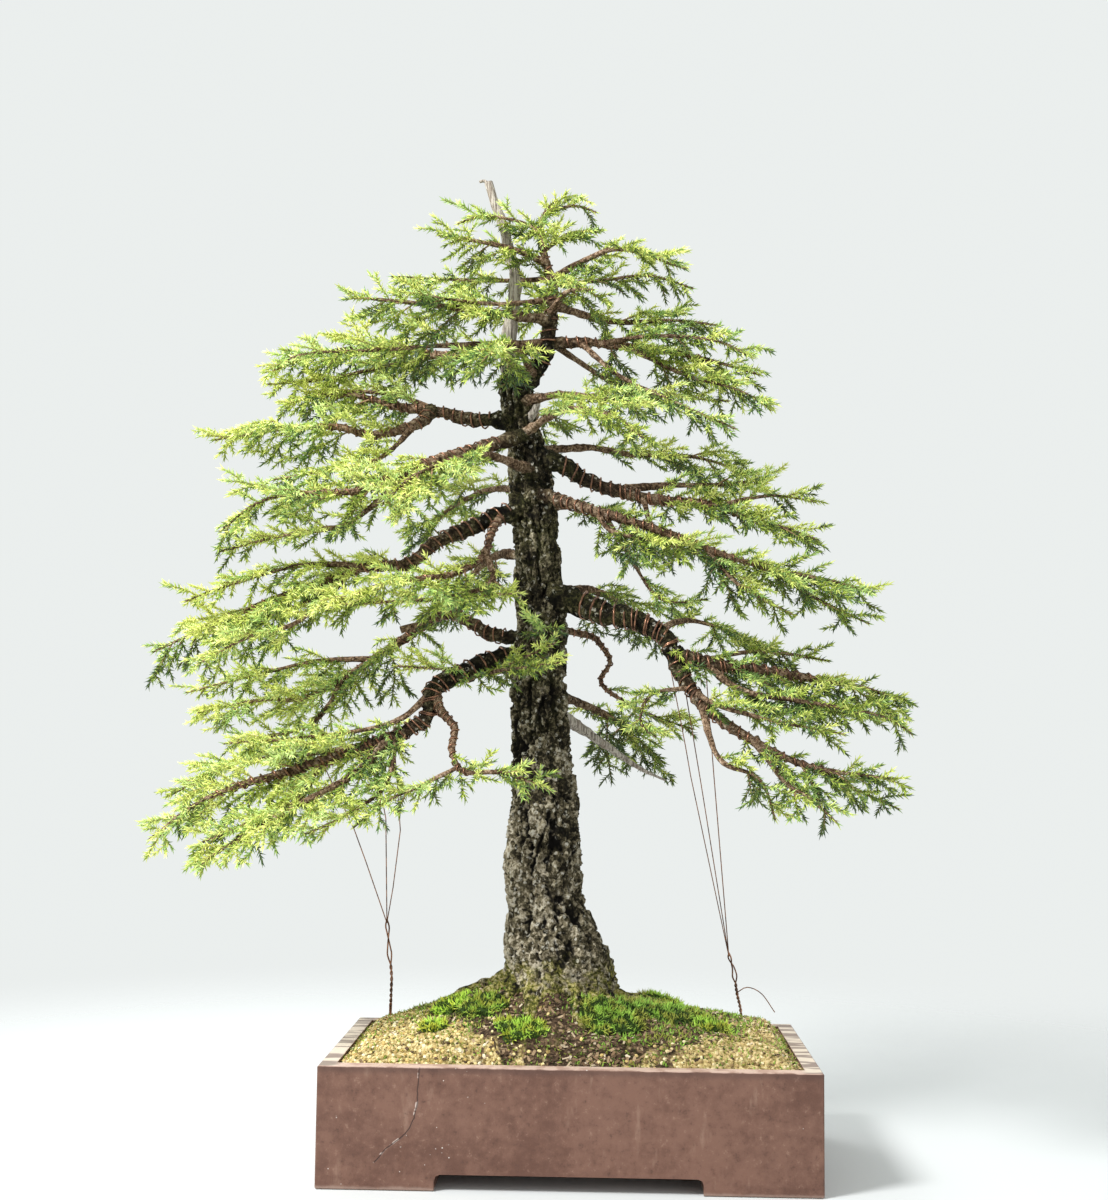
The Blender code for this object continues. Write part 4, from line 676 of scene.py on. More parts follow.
def new_piece(name, mesh, slot, *replaced):
    """A finished piece at the origin, which rides with the object and stands for the named nodes."""
    mesh.name = name
    made = bpy.data.objects.new(name, mesh)
    bpy.context.scene.collection.objects.link(made)
    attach(made, "root")
    if replaced:
        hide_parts(*replaced)
    return made


def stems_tree():
    """Stems as thin tubes, and needles set spirally along their leafy stretches."""
    nodes, entry, given = geometry_tree("Needled stems", {
        "Needle length": "number", "Needle radius": "number", "Needle spacing": "number", "Seed": "count",
        "Twig material": "material", "Needle material": "material"})
    curves = nodes.make("GeometryNodeMeshToCurve", None, {"Mesh": entry})
    tubes = nodes.coated(nodes.tubes(curves, 3), given["Twig material"])
    points = nodes.make("GeometryNodeCurveToPoints", {"mode": "LENGTH"},
                        {"Curve": curves, "Length": given["Needle spacing"]})
    number = nodes.make("GeometryNodeInputIndex")
    turn = number * GOLDEN_ANGLE + nodes.random(-0.5, 0.5, given["Seed"])
    lean = nodes.stored("lean") + nodes.random(-0.16, 0.16, given["Seed"])
    rotation = nodes.spun(points.other("Rotation"), tuple(UP), turn)
    rotation = nodes.spun(rotation, (1.0, 0.0, 0.0), lean)
    long = given["Needle length"] * nodes.random(0.78, 1.12, given["Seed"]) * nodes.stored("long")
    size = nodes.make("ShaderNodeCombineXYZ", None,
                      {"X": given["Needle radius"], "Y": given["Needle radius"], "Z": long})
    leafy = nodes.make("FunctionNodeCompare", {"operation": "GREATER_THAN", "data_type": "FLOAT"},
                       {"A": nodes.stored("leafy"), "B": 0.5})
    tint = nodes.random(0.0, 1.0, given["Seed"])
    needles = nodes.placed(points, nodes.spike(), rotation, size, tint, Selection=leafy)
    needles = nodes.coated(needles, given["Needle material"])
    both = nodes.make("GeometryNodeJoinGeometry")
    nodes.tree.links.new(tubes.socket, both.socket.node.inputs[0])
    nodes.tree.links.new(needles.socket, both.socket.node.inputs[0])
    nodes.finish(both)
    return nodes


def limb_tree():
    """Routes as rough wood: tubes whose surface swells, dents and cracks along the grain."""
    nodes, entry, given = geometry_tree("Rough limbs", {
        "Sides": "count", "Gnarl": "number", "Gnarl size": "number", "Plate size": "number",
        "Plate depth": "number", "Old": "number", "Material": "material"})
    wood = nodes.tubes(nodes.make("GeometryNodeMeshToCurve", None, {"Mesh": entry}), given["Sides"])
    place = nodes.make("GeometryNodeInputPosition")
    thick = nodes.stored("thick")
    swell = (nodes.noise(place, 1.0 / given["Gnarl size"], 1.0) - 0.5) * thick * given["Gnarl"]
    edge = nodes.cells(place, 1.0 / given["Plate size"], "DISTANCE_TO_EDGE")
    plate = nodes.ramp(edge, 0.02, 0.22)
    relief = swell + (plate - 0.7) * given["Plate depth"] * nodes.ramp(thick, 0.002, 0.009)
    wood = nodes.store(wood, "fissure", 1.0 - plate)
    wood = nodes.store(wood, "young", nodes.ramp(thick / given["Old"], 1.0, 0.35))
    wood = nodes.make("GeometryNodeSetShadeSmooth", None, {"Geometry": nodes.pushed(wood, relief)})
    nodes.finish(nodes.coated(wood, given["Material"]))
    return nodes


def bark_tree():
    """Rough bark: long upright cracks, ragged plates at different heights and small flakes on them."""
    nodes, entry, given = geometry_tree("Bark plates", {
        "Plate size": "number", "Plate depth": "number", "Crack depth": "number", "Grain size": "number",
        "Grain depth": "number", "Material": "material"})
    place = nodes.make("GeometryNodeInputPosition")
    warp = nodes.noise(place, 95.0, 3.0, 0.65).other("Color")
    warp = nodes.vectors("SUBTRACT", warp, (0.5, 0.5, 0.5))
    warp = nodes.vectors("MULTIPLY", warp, (0.013, 0.013, 0.020))
    warped = nodes.vectors("ADD", place, warp)
    drawn = nodes.vectors("MULTIPLY", warped, (1.0, 1.0, 0.42))
    upright = nodes.vectors("MULTIPLY", warped, (1.0, 1.0, 0.20))
    line = nodes.maths("ABSOLUTE", nodes.noise(upright, 46.0, 1.0) - 0.5)
    crack = nodes.ramp(line, 0.0, 0.055)
    edge = nodes.cells(drawn, 1.0 / given["Plate size"], "DISTANCE_TO_EDGE")
    level = nodes.parts(nodes.cells(drawn, 1.0 / given["Plate size"]).other("Color"))[0]
    plate = nodes.ramp(edge, 0.0, 0.16)
    flake = nodes.parts(nodes.cells(drawn, 2.3 / given["Plate size"]).other("Color"))[0]
    grain = nodes.noise(place, 1.0 / given["Grain size"], 2.0) - 0.5
    relief = (plate * (0.30 + 0.60 * level) + 0.40 * flake * plate - 0.60) * given["Plate depth"]
    relief = relief + (crack - 1.0) * given["Crack depth"] + grain * given["Grain depth"]
    bark = nodes.store(entry, "fissure", 1.0 - crack * (0.45 + 0.55 * plate))
    bark = nodes.store(bark, "level", level * 0.5 + flake * 0.5)
    bark = nodes.pushed(bark, relief * nodes.stored("rough"))
    nodes.finish(nodes.coated(bark, given["Material"]))
    return nodes


def wire_tree():
    """Wire of round section along its routes."""
    nodes, entry, given = geometry_tree("Wire", {"Sides": "count", "Material": "material"})
    wire = nodes.tubes(nodes.make("GeometryNodeMeshToCurve", None, {"Mesh": entry}), given["Sides"])
    wire = nodes.make("GeometryNodeSetShadeSmooth", None, {"Geometry": wire})
    nodes.finish(nodes.coated(wire, given["Material"]))
    return nodes


def grains_tree():
    """Grains of different sizes and shapes lying over the ground, spaced so that none sits inside another."""
    nodes, entry, given = geometry_tree("Grains", {
        "Spacing": "number", "Smallest": "number", "Largest": "number", "Flatness": "number", "Seed": "count",
        "Material": "material"})
    points = nodes.make("GeometryNodeDistributePointsOnFaces", {"distribute_method": "POISSON"},
                        {"Mesh": entry, "Distance Min": given["Spacing"], "Density Max": 90000.0,
                         "Density Factor": nodes.stored("share"), "Seed": given["Seed"]})
    grain = nodes.make("GeometryNodeMeshIcoSphere", None, {"Radius": 1.0, "Subdivisions": 1})
    rotation = points.other("Rotation")
    for number, (axis, reach) in enumerate(((tuple(UP), math.pi), ((1.0, 0.0, 0.0), 0.5))):
        rotation = nodes.spun(rotation, axis, nodes.random(-reach, reach, given["Seed"] + 3 + number))
    size = nodes.random(given["Smallest"], given["Largest"], given["Seed"] + 7)
    shape = nodes.make("ShaderNodeCombineXYZ", None, {
        "X": size, "Y": size * nodes.random(0.62, 1.0, given["Seed"] + 8),
        "Z": size * given["Flatness"] * nodes.random(0.8, 1.2, given["Seed"] + 9)})
    grains = nodes.placed(points, grain, rotation, shape, nodes.random(0.0, 1.0, given["Seed"] + 11))
    nodes.finish(nodes.coated(grains, given["Material"]))
    return nodes


def leaning_points(nodes, entry, given, axis):
    """Points scattered by the stored share, each with a turn of its own and a lean about an axis."""
    values = {"Mesh": entry, "Density": given["Density"] * nodes.stored("share"), "Seed": given["Seed"]}
    points = nodes.make("GeometryNodeDistributePointsOnFaces", {"distribute_method": "RANDOM"}, values)
    turn = nodes.random(0.0, 2 * math.pi, given["Seed"] + 3)
    lean = nodes.random(-1.0, 1.0, given["Seed"] + 4) * given["Lean"]
    return points, nodes.spun(nodes.spun(points.other("Rotation"), tuple(UP), turn), axis, lean)


def flakes_tree():
    """Thin chips and needles of litter lying at all angles."""
    nodes, entry, given = geometry_tree("Flakes", {
        "Density": "number", "Smallest": "number", "Largest": "number", "Width": "number",
        "Thickness": "number", "Lean": "number", "Seed": "count", "Material": "material"})
    points, rotation = leaning_points(nodes, entry, given, (0.0, 1.0, 0.0))
    flake = nodes.make("GeometryNodeMeshCube", None, {"Size": (1.0, 1.0, 1.0)})
    size = nodes.random(given["Smallest"], given["Largest"], given["Seed"] + 7)
    shape = nodes.make("ShaderNodeCombineXYZ", None, {
        "X": size, "Y": given["Width"] * nodes.random(0.6, 1.4, given["Seed"] + 8), "Z": given["Thickness"]})
    flakes = nodes.placed(points, flake, rotation, shape, nodes.random(0.0, 1.0, given["Seed"] + 11))
    nodes.finish(nodes.coated(flakes, given["Material"]))
    return nodes


def fronds_tree():
    """Short pointed fronds standing close together, longer in tufts, with a tint that is high in tufts and
    low between them, where the moss is painted dark as shade.
    """
    nodes, entry, given = geometry_tree("Fronds", {
        "Density": "number", "Frond length": "number", "Frond radius": "number", "Lean": "number",
        "Seed": "count", "Material": "material"})
    points, rotation = leaning_points(nodes, entry, given, (1.0, 0.0, 0.0))
    tuft = nodes.ramp(nodes.noise(nodes.make("GeometryNodeInputPosition"), 130.0, 2.0), 0.36, 0.62)
    long = given["Frond length"] * nodes.random(0.5, 1.15, given["Seed"] + 5) * (0.35 + 0.85 * tuft)
    shape = nodes.make("ShaderNodeCombineXYZ", None,
                       {"X": given["Frond radius"], "Y": given["Frond radius"], "Z": long})
    light = tuft * 0.75 + nodes.random(0.0, 0.25, given["Seed"] + 11)
    fronds = nodes.placed(points, nodes.spike(), rotation, shape, light)
    nodes.finish(nodes.coated(fronds, given["Material"]))
    return nodes


# Routes

def smooth(route, step=0.004):
    """Points every few millimetres on a smooth curve through the points of a route."""
    given = [Vector(point) for point in route]
    given = [given[0] * 2 - given[1]] + given + [given[-1] * 2 - given[-2]]
    made = [given[1]]
    for a, b, c, d in zip(given, given[1:], given[2:], given[3:]):
        count = max(1, round((c - b).length / step))
        for number in range(1, count + 1):
            t = number / count
            made.append((b * 2 + (c - a) * t + (a * 2 - b * 5 + c * 4 - d) * t ** 2
                         + (b * 3 - a - c * 3 + d) * t ** 3) / 2)
    return made


class Path:
    """A polyline measured along its length."""

    def __init__(self, points):
        self.points = points
        self.marks = [0.0]
        for a, b in zip(points, points[1:]):
            self.marks.append(self.marks[-1] + (b - a).length)
        self.length = self.marks[-1]

    def at(self, distance):
        """The point at a distance, and the heading there."""
        number = min(max(bisect.bisect_right(self.marks, distance), 1), len(self.marks) - 1)
        a, b = self.points[number - 1], self.points[number]
        share = (distance - self.marks[number - 1]) / (self.marks[number] - self.marks[number - 1])
        return a.lerp(b, share), (b - a).normalized()

    def stretch(self, first, last, step):
        """Points from one distance to another, about a step apart."""
        count = max(1, round((last - first) / step))
        return [self.at(first + (last - first) * number / count)[0] for number in range(count + 1)]


def square_axes(heading):
    """Two axes square to a heading: the first level, the second towards the sky."""
    level = UP.cross(heading)
    if level.length < 0.1:
        level = Vector((1.0, 0.0, 0.0)).cross(heading)
    level.normalize()
    return level, heading.cross(level)


def carried_axes(points):
    """Axes square to a route at each point, carried along it without twisting."""
    axes = []
    level = None
    for before, after in zip(points[:1] + points[:-1], points[1:] + points[-1:]):
        heading = (after - before).normalized()
        if level is None:
            level = square_axes(heading)[0]
        level = (level - heading * level.dot(heading)).normalized()
        axes.append((level, heading.cross(level)))
    return axes


class Lines:
    """Polylines of one piece as a mesh of edges, with numbers stored at their points."""

    def __init__(self, *names):
        self.points = []
        self.edges = []
        self.numbers = {name: [] for name in names}

    def add(self, points, **numbers):
        """Adds a polyline. Each number is one for all its points, or a list."""
        first = len(self.points)
        self.points += [point + HOME for point in points]
        self.edges += [(first + number, first + number + 1) for number in range(len(points) - 1)]
        for name, stored in self.numbers.items():
            value = numbers[name]
            stored += value if isinstance(value, list) else [value] * len(points)

    def mesh(self, name):
        mesh = bpy.data.meshes.new(name)
        mesh.from_pydata(self.points, self.edges, [])
        for key, stored in self.numbers.items():
            mesh.attributes.new(key, "FLOAT", "POINT").data.foreach_set("value", stored)
        return mesh


def branch_named(name):
    return next(branch for branch in BRANCHES if branch.name == name)


def branch_radius(branch, share):
    """The radius of a branch's wood at a share of its length, with a collar where it leaves the trunk."""
    plain = branch.thick + (BRANCH_TIP - branch.thick) * share ** BRANCH_TAPER
    return plain * (1.0 + 0.30 * math.exp(-share * 14.0))


# The tray

def crack_mask(nodes, across, up, width):
    """1 on the line of the crack and 0 away from it."""
    nearest = None
    for (x0, z0), (x1, z1) in zip(CRACK, CRACK[1:]):
        run_x, run_z = x1 - x0, z1 - z0
        square = run_x ** 2 + run_z ** 2
        share = ((across - x0) * run_x + (up - z0) * run_z) / square
        share = nodes.make("ShaderNodeClamp", None, {"Value": share})
        off_x = across - x0 - share * run_x
        off_z = up - z0 - share * run_z
        away = nodes.maths("SQRT", off_x * off_x + off_z * off_z)
        nearest = away if nearest is None else nodes.maths("MINIMUM", nearest, away)
    return nodes.ramp(nearest, width, width * 0.3)


def stoneware(settings):
    """Unglazed red-brown clay: clouded and fine-grained, cracked and lime-specked. The rim's top is pale,
    partly worn cream and partly painted light; on the rim at both ends it has dark stripes, partly grey-brown
    patches and partly painted shadows of the foliage; a dark band just below the rim is painted shade.
    """
    def build(nodes):
        place = here(nodes)
        x, y, z = nodes.parts(place)
        wander = (nodes.noise(place, 60.0, 4.0) - 0.5) * 0.008
        clouds = nodes.noise(place, 9.0, 5.0, 0.62)
        fine = nodes.noise(place, 65.0, 5.0, 0.7)
        grain = nodes.noise(place, 420.0, 2.0)
        slant = nodes.make("ShaderNodeMapping", None, {"Vector": place, "Rotation": (0.0, -0.75, 0.0),
                                                       "Scale": (60.0, 30.0, 16.0)})
        streaks = nodes.noise(slant, 1.0, 4.0, 0.65)
        clay = nodes.blend(nodes.ramp(clouds * 0.55 + fine * 0.45, 0.40, 0.60),
                           colour(*settings.clay), colour(*settings.clay_light))
        smudge = nodes.ramp(streaks, 0.56, 0.74) * nodes.ramp(clouds, 0.46, 0.60)
        clay = nodes.blend(smudge * 0.55, clay, colour(0.30, 0.185, 0.135))
        rubbed = nodes.noise(place, 130.0, 6.0, 0.8)
        clay = nodes.blend(nodes.ramp(rubbed, 0.58, 0.72) * 0.65, clay, colour(0.33, 0.205, 0.150))
        clay = nodes.blend(nodes.ramp(rubbed, 0.43, 0.30) * 0.60, clay, colour(0.070, 0.032, 0.023))
        clay = nodes.blend(nodes.ramp(grain, 0.60, 0.80) * 0.35, clay, colour(0.05, 0.023, 0.018))
        front = nodes.ramp(y, -0.1380, -0.1392)
        across = x + wander * 0.5
        crack = crack_mask(nodes, across, z, 0.0008) * front
        chipped = crack_mask(nodes, across + 0.0006, z, 0.0014) * front
        chipped = chipped * nodes.ramp(nodes.noise(place, 110.0, 2.0), 0.54, 0.62)
        clay = nodes.blend(chipped * 0.9, clay, colour(0.62, 0.50, 0.44))
        clay = nodes.blend(crack * 0.8, clay, colour(0.045, 0.022, 0.017))
        dots = nodes.cells(place, 170.0)
        chosen = nodes.ramp(nodes.parts(dots.other("Color"))[0], 0.72, 0.74)
        corner = nodes.ramp(x, -0.06, -0.17) * nodes.ramp(z, 0.085, 0.050)
        limy = nodes.maths("MAXIMUM", corner, nodes.ramp(nodes.noise(place, 12.0, 2.0), 0.58, 0.70) * 0.8)
        size = 0.10 + 0.16 * nodes.parts(dots.other("Color"))[1]
        specks = nodes.ramp((dots + (fine - 0.5) * 0.35) / size, 1.0, 0.5)
        specks = specks * chosen * nodes.ramp(limy, 0.25, 0.55)
        clay = nodes.blend(specks * 0.9, clay, colour(0.70, 0.62, 0.56))
        edge = nodes.ramp(z + wander * 0.2, 0.1180, 0.1186)
        # Painted shade: a dark band just below the rim's top edge, on the outer and inner walls.
        under = nodes.ramp(z + wander * 0.4, 0.1100, 0.1165) * (1.0 - edge)
        clay = nodes.blend(under * 0.50, clay, colour(0.070, 0.035, 0.027))
        foot = nodes.ramp(z + wander * 0.6, 0.0045, 0.0010)
        clay = nodes.blend(foot * 0.6, clay, colour(0.33, 0.235, 0.19))
        # The rim's top edge and up-facing top are painted pale: partly worn cream clay, partly painted light
        # where the light falls on them.
        worn = nodes.ramp(nodes.noise(place, 60.0, 3.0), 0.40, 0.55)
        clay = nodes.blend(edge * (0.30 + 0.45 * worn), clay, colour(0.55, 0.39, 0.32))
        top = nodes.ramp(nodes.parts(nodes.make("ShaderNodeNewGeometry").other("Normal"))[2], 0.75, 0.95)
        top = top * nodes.ramp(z, 0.100, 0.112)
        # On the rim at both ends the top gets dark stripes: partly the rim's own grey-brown patches, partly
        # painted shadows of the foliage.
        bands = nodes.noise(nodes.vectors("MULTIPLY", place, (14.0, 62.0, 1.0)), 1.0, 2.0)
        striped = nodes.blend(nodes.ramp(bands, 0.47, 0.57), colour(0.66, 0.57, 0.46),
                              colour(0.25, 0.195, 0.16))
        plain = nodes.blend(worn, colour(0.42, 0.27, 0.21), colour(0.56, 0.41, 0.33))
        sides = nodes.ramp(nodes.maths("ABSOLUTE", x), 0.226, 0.236)
        clay = nodes.blend(top * 0.93, clay, nodes.blend(sides, plain, striped))
        height = grain * 0.3 + clouds * 0.5 - crack * 2.5 + specks * 0.8 + fine * 0.9
        rough = 0.62 + 0.25 * streaks
        return {"Base Color": clay, "Roughness": rough, "Normal": bumped(nodes, height, 0.0006, 0.7)}
    return finish_material("stoneware_clay", build)


def finish_pot(settings):
    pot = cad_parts["pot"]
    pot.data.materials.clear()
    pot.data.materials.append(stoneware(settings))


# The ground

def clamped(value):
    """A number held between 0 and 1."""
    return min(1.0, max(0.0, value))


def heap_share(x, y):
    """1 at the middle of the mound, falling to 0 at its edge."""
    across = x - HEAP_MIDDLE[0]
    away = math.hypot(across / (HEAP_LEFT if across < 0.0 else HEAP_RIGHT), (y - HEAP_MIDDLE[1]) / HEAP_DEPTH)
    return math.exp(-away ** HEAP_SHAPE)


def open_share(x, y):
    """How far a place lies out on the open gravel, from 0 round the root base to 1 near the rim."""
    (middle_x, middle_y), (reach_x, reach_y) = DARK_GROUND
    off = math.hypot((x - middle_x) / reach_x, (y - middle_y) / reach_y)
    off += 0.24 * noise.noise(Vector((x, y, 8.1)) / 0.018)
    return clamped((off - 0.84) / 0.26)


def ground_height(x, y):
    """The height of the soil: level near the rim, heaped round the root base, lumpy everywhere."""
    inner_x = POT_HALF_WIDTH - POT_WALL
    inner_y = POT_HALF_DEPTH - POT_WALL
    to_wall = min(inner_x - abs(x), inner_y - abs(y))
    fade = clamped(to_wall / HEAP_FADE)
    fade = fade * fade * (3.0 - 2.0 * fade)
    (middle_x, middle_y), (reach_x, reach_y), rise = COLLAR
    collar = rise * math.exp(-((x - middle_x) / reach_x) ** 2 - ((y - middle_y) / reach_y) ** 2)
    height = SOIL_RIM + (SOIL_HEAP * heap_share(x, y) + collar) * fade
    for size, depth in SOIL_LUMPS:
        height += noise.noise(Vector((x, y, 0.0)) / size) * depth * (0.25 + 0.75 * fade)
    return height


def ground_grid(name, cells, share):
    """The upper side of the ground as a grid, with a stored share from 0 to 1 at each point."""
    half_x = POT_HALF_WIDTH - POT_WALL - SOIL_GAP
    half_y = POT_HALF_DEPTH - POT_WALL - SOIL_GAP
    bm = bmesh.new()
    bmesh.ops.create_grid(bm, x_segments=cells[0], y_segments=cells[1], size=1.0)
    layer = bm.verts.layers.float.new("share")
    for vert in bm.verts:
        x, y = vert.co.x * half_x, vert.co.y * half_y
        vert[layer] = share(x, y)
        vert.co = HOME + Vector((x, y, ground_height(x, y)))
    return taken(bm, name)


def soil_mesh():
    """The whole body of soil: the ground, its sides along the tray and its flat bottom."""
    bm = bmesh.new()
    bm.from_mesh(ground_grid("soil_bed", SOIL_CELLS, open_share))
    rim = [edge for edge in bm.edges if edge.is_boundary]
    skirt = bmesh.ops.extrude_edge_only(bm, edges=rim)["geom"]
    for item in skirt:
        if isinstance(item, bmesh.types.BMVert):
            item.co.z = HOME.z + SOIL_BOTTOM
    bmesh.ops.contextual_create(bm, geom=[edge for edge in bm.edges if edge.is_boundary])
    bmesh.ops.recalc_face_normals(bm, faces=bm.faces)
    return taken(bm, "soil_bed")


def mossy(x, y):
    """How far a place lies under moss, from 0 to 1."""
    cover = 0.0
    for cushion in CUSHIONS:
        off = math.hypot((x - cushion.place[0]) / cushion.size[0], (y - cushion.place[1]) / cushion.size[1])
        cover = max(cover, 1.0 - clamped((off - 0.8) / 0.4))
    return cover


def patchy(x, y, size, low, high):
    """A blotchy share from 0 to 1."""
    value = noise.noise(Vector((x, y, 3.7)) / size) * 0.5 + 0.5
    return clamped((value - low) / (high - low))


def gravel_share(x, y):
    stray = 0.16 * patchy(x, y, 0.02, 0.5, 0.7)
    return max(open_share(x, y), stray) * (1.0 - 0.9 * mossy(x, y))


def litter_share(x, y):
    return max(1.0 - open_share(x, y), 0.10) * (1.0 - 0.9 * mossy(x, y))


def carpet_share(x, y):
    """Thin moss that spreads between the cushions, most of all right of the trunk and behind it."""
    side = 0.30 + 0.70 * clamped(max((x - 0.01) / 0.04, y / 0.05, (-0.08 - x) / 0.03))
    return (1.0 - 0.80 * open_share(x, y)) * side * patchy(x, y, 0.014, 0.26, 0.50)


def soil_material():
    """Dark humus with paler crumbs, sandier towards the rim."""
    def build(nodes):
        place = here(nodes)
        out = attribute(nodes, "share")
        fine = nodes.noise(place, 260.0, 4.0, 0.7)
        blotch = nodes.noise(place, 48.0, 3.0)
        fibre = nodes.noise(nodes.vectors("MULTIPLY", place, (120.0, 420.0, 420.0)), 1.0, 3.0, 0.7)
        humus = nodes.colours((fibre - 0.5) * 2.6 + (fine - 0.5) * 1.8 + 0.40,
                              (0.0, (0.016, 0.011, 0.007)), (0.45, (0.075, 0.048, 0.030)),
                              (0.75, (0.21, 0.145, 0.085)), (1.0, (0.46, 0.36, 0.24)))
        sand = nodes.colours((fine - 0.5) * 3.2 + 0.5,
                             (0.0, (0.10, 0.070, 0.025)), (0.3, (0.34, 0.25, 0.095)),
                             (0.6, (0.60, 0.46, 0.20)), (1.0, (0.84, 0.74, 0.44)))
        base = nodes.blend(nodes.ramp(out + (blotch - 0.5) * 0.5, 0.30, 0.60), humus, sand)
        base = nodes.blend(nodes.ramp(blotch, 0.54, 0.70) * 0.55, base, colour(0.15, 0.16, 0.035))
        normal = bumped(nodes, fine + fibre * 0.5, 0.0030)
        return {"Base Color": base, "Roughness": 0.96, "Normal": normal}
    return finish_material("humus", build, 0.1)


def gravel_material():
    """Cream and golden grains on the left, and browner, darker ones on the right, where the darkness is
    partly painted shade; each grain has a tint of its own.
    """
    def build(nodes):
        place = here(nodes)
        x = nodes.parts(place)[0]
        tint = attribute(nodes, "tint")
        light = nodes.colours(tint, (0.0, (0.24, 0.16, 0.050)), (0.18, (0.55, 0.38, 0.12)),
                              (0.45, (0.76, 0.58, 0.23)), (0.78, (0.85, 0.72, 0.36)),
                              (1.0, (0.90, 0.84, 0.60)))
        brown = nodes.colours(tint, (0.0, (0.10, 0.065, 0.030)), (0.25, (0.27, 0.18, 0.080)),
                              (0.6, (0.52, 0.38, 0.18)), (1.0, (0.78, 0.66, 0.40)))
        # Partly browner grains, partly painted shade: the grains on the right take the darker colours.
        side = nodes.ramp(x + (nodes.noise(place, 25.0, 2.0) - 0.5) * 0.12, 0.02, 0.12)
        base = nodes.blend(side * 0.75, light, brown)
        mottle = nodes.noise(place, 900.0, 2.0)
        base = nodes.blend(nodes.ramp(mottle, 0.40, 0.75) * 0.30, base, colour(0.30, 0.22, 0.12))
        return {"Base Color": base, "Roughness": 0.88, "Normal": bumped(nodes, mottle, 0.0004, 0.6)}
    return finish_material("gravel_grains", build)


def litter_material():
    """Bark chips and dead needles, from dark brown to bleached straw."""
    def build(nodes):
        base = nodes.colours(attribute(nodes, "tint"), (0.0, (0.035, 0.022, 0.014)),
                             (0.35, (0.10, 0.062, 0.036)), (0.65, (0.24, 0.155, 0.085)),
                             (0.88, (0.42, 0.30, 0.18)), (1.0, (0.66, 0.57, 0.42)))
        fibre = nodes.noise(here(nodes), 700.0, 2.0)
        base = nodes.blend(nodes.ramp(fibre, 0.4, 0.8) * 0.4, base, colour(0.05, 0.03, 0.02))
        return {"Base Color": base, "Roughness": 0.9, "Normal": bumped(nodes, fibre, 0.0004, 0.6)}
    return finish_material("bark_litter", build, 0.2)


def moss_material(name, fresh):
    """Moss: dark in its depths and in the gaps between tufts as painted shade, bright at the frond tips. The
    fresher it is and the more light is painted on it, the yellower and lighter.
    """
    def build(nodes):
        tip = attribute(nodes, "along")
        tint = attribute(nodes, "tint")
        patch = nodes.noise(here(nodes), 60.0, 3.0)
        # Painted shade: the feet of the fronds and the short fronds between tufts take this near-black green.
        deep = colour(0.014 + 0.02 * fresh, 0.028 + 0.04 * fresh, 0.006)
        # Freshness with painted light: the higher the number, the yellower and lighter the tips.
        bright = colour(0.20 + 0.42 * fresh, 0.40 + 0.48 * fresh, 0.07 + 0.05 * fresh)
        dull = colour(0.25 + 0.36 * fresh, 0.26 + 0.40 * fresh, 0.07)
        crown = nodes.blend(nodes.ramp(patch, 0.44, 0.58), bright, dull)
        base = nodes.blend(nodes.ramp(tip * 0.45 + tint * 0.95, 0.30, 1.00), deep, crown)
        return {"Base Color": base, "Roughness": 0.75}
    return finish_material(name, build, 0.2)


def make_soil():
    mesh = soil_mesh()
    mesh.materials.append(soil_material())
    for face in mesh.polygons:
        face.use_smooth = True
    new_piece("soil_bed", mesh, "soil", "soil")


def make_gravel(settings):
    source = ground_grid("gravel", COVER_CELLS, gravel_share)
    mesh = shaped(source, grains_tree(), {
        "Spacing": settings.spacing, "Smallest": settings.smallest, "Largest": settings.largest,
        "Flatness": 0.72, "Seed": SEED, "Material": gravel_material()})
    new_piece("gravel", mesh, "soil")


def make_litter(settings):
    source = ground_grid("litter", COVER_CELLS, litter_share)
    mesh = shaped(source, flakes_tree(), {
        "Density": settings.density, "Smallest": 0.0030, "Largest": 0.0120, "Width": 0.0021,
        "Thickness": 0.0006, "Lean": 0.6, "Seed": SEED, "Material": litter_material()})
    new_piece("bark_litter", mesh, "soil")


def cushion_mesh(cushion):
    """The lumpy body of a moss cushion, closed and partly under the ground."""
    bm = bmesh.new()
    bmesh.ops.create_icosphere(bm, subdivisions=3, radius=1.0)
    x, y = cushion.place
    centre = Vector((x, y, ground_height(x, y) + cushion.size[2] * 0.10))
    layer = bm.verts.layers.float.new("share")
    for vert in bm.verts:
        lump = 0.92 + 0.34 * noise.noise(vert.co * 1.7 + Vector((x, y, 0.0)) * 40.0)
        lump += 0.22 * noise.noise(vert.co * 4.2 + Vector((y, x, 0.0)) * 70.0)
        vert[layer] = 1.0 if vert.co.z > -0.15 else 0.0
        flat = Vector((vert.co.x * cushion.size[0], vert.co.y * cushion.size[1], 0.0)) * lump
        rise = vert.co.z * cushion.size[2] * lump
        ground = ground_height(x + flat.x, y + flat.y) - centre.z
        vert.co = HOME + centre + flat + Vector((0.0, 0.0, ground * 0.75 + rise))
    return taken(bm, cushion.name)


def joined(name, meshes):
    """Several meshes as one, each keeping its material."""
    bm = bmesh.new()
    materials = []
    for mesh in meshes:
        first = len(bm.faces)
        bm.from_mesh(mesh)
        bm.faces.ensure_lookup_table()
        base = len(materials)
        for number in range(first, len(bm.faces)):
            bm.faces[number].material_index += base
        materials += list(mesh.materials)
    made = taken(bm, name)
    for material in materials:
        made.materials.append(material)
    return made


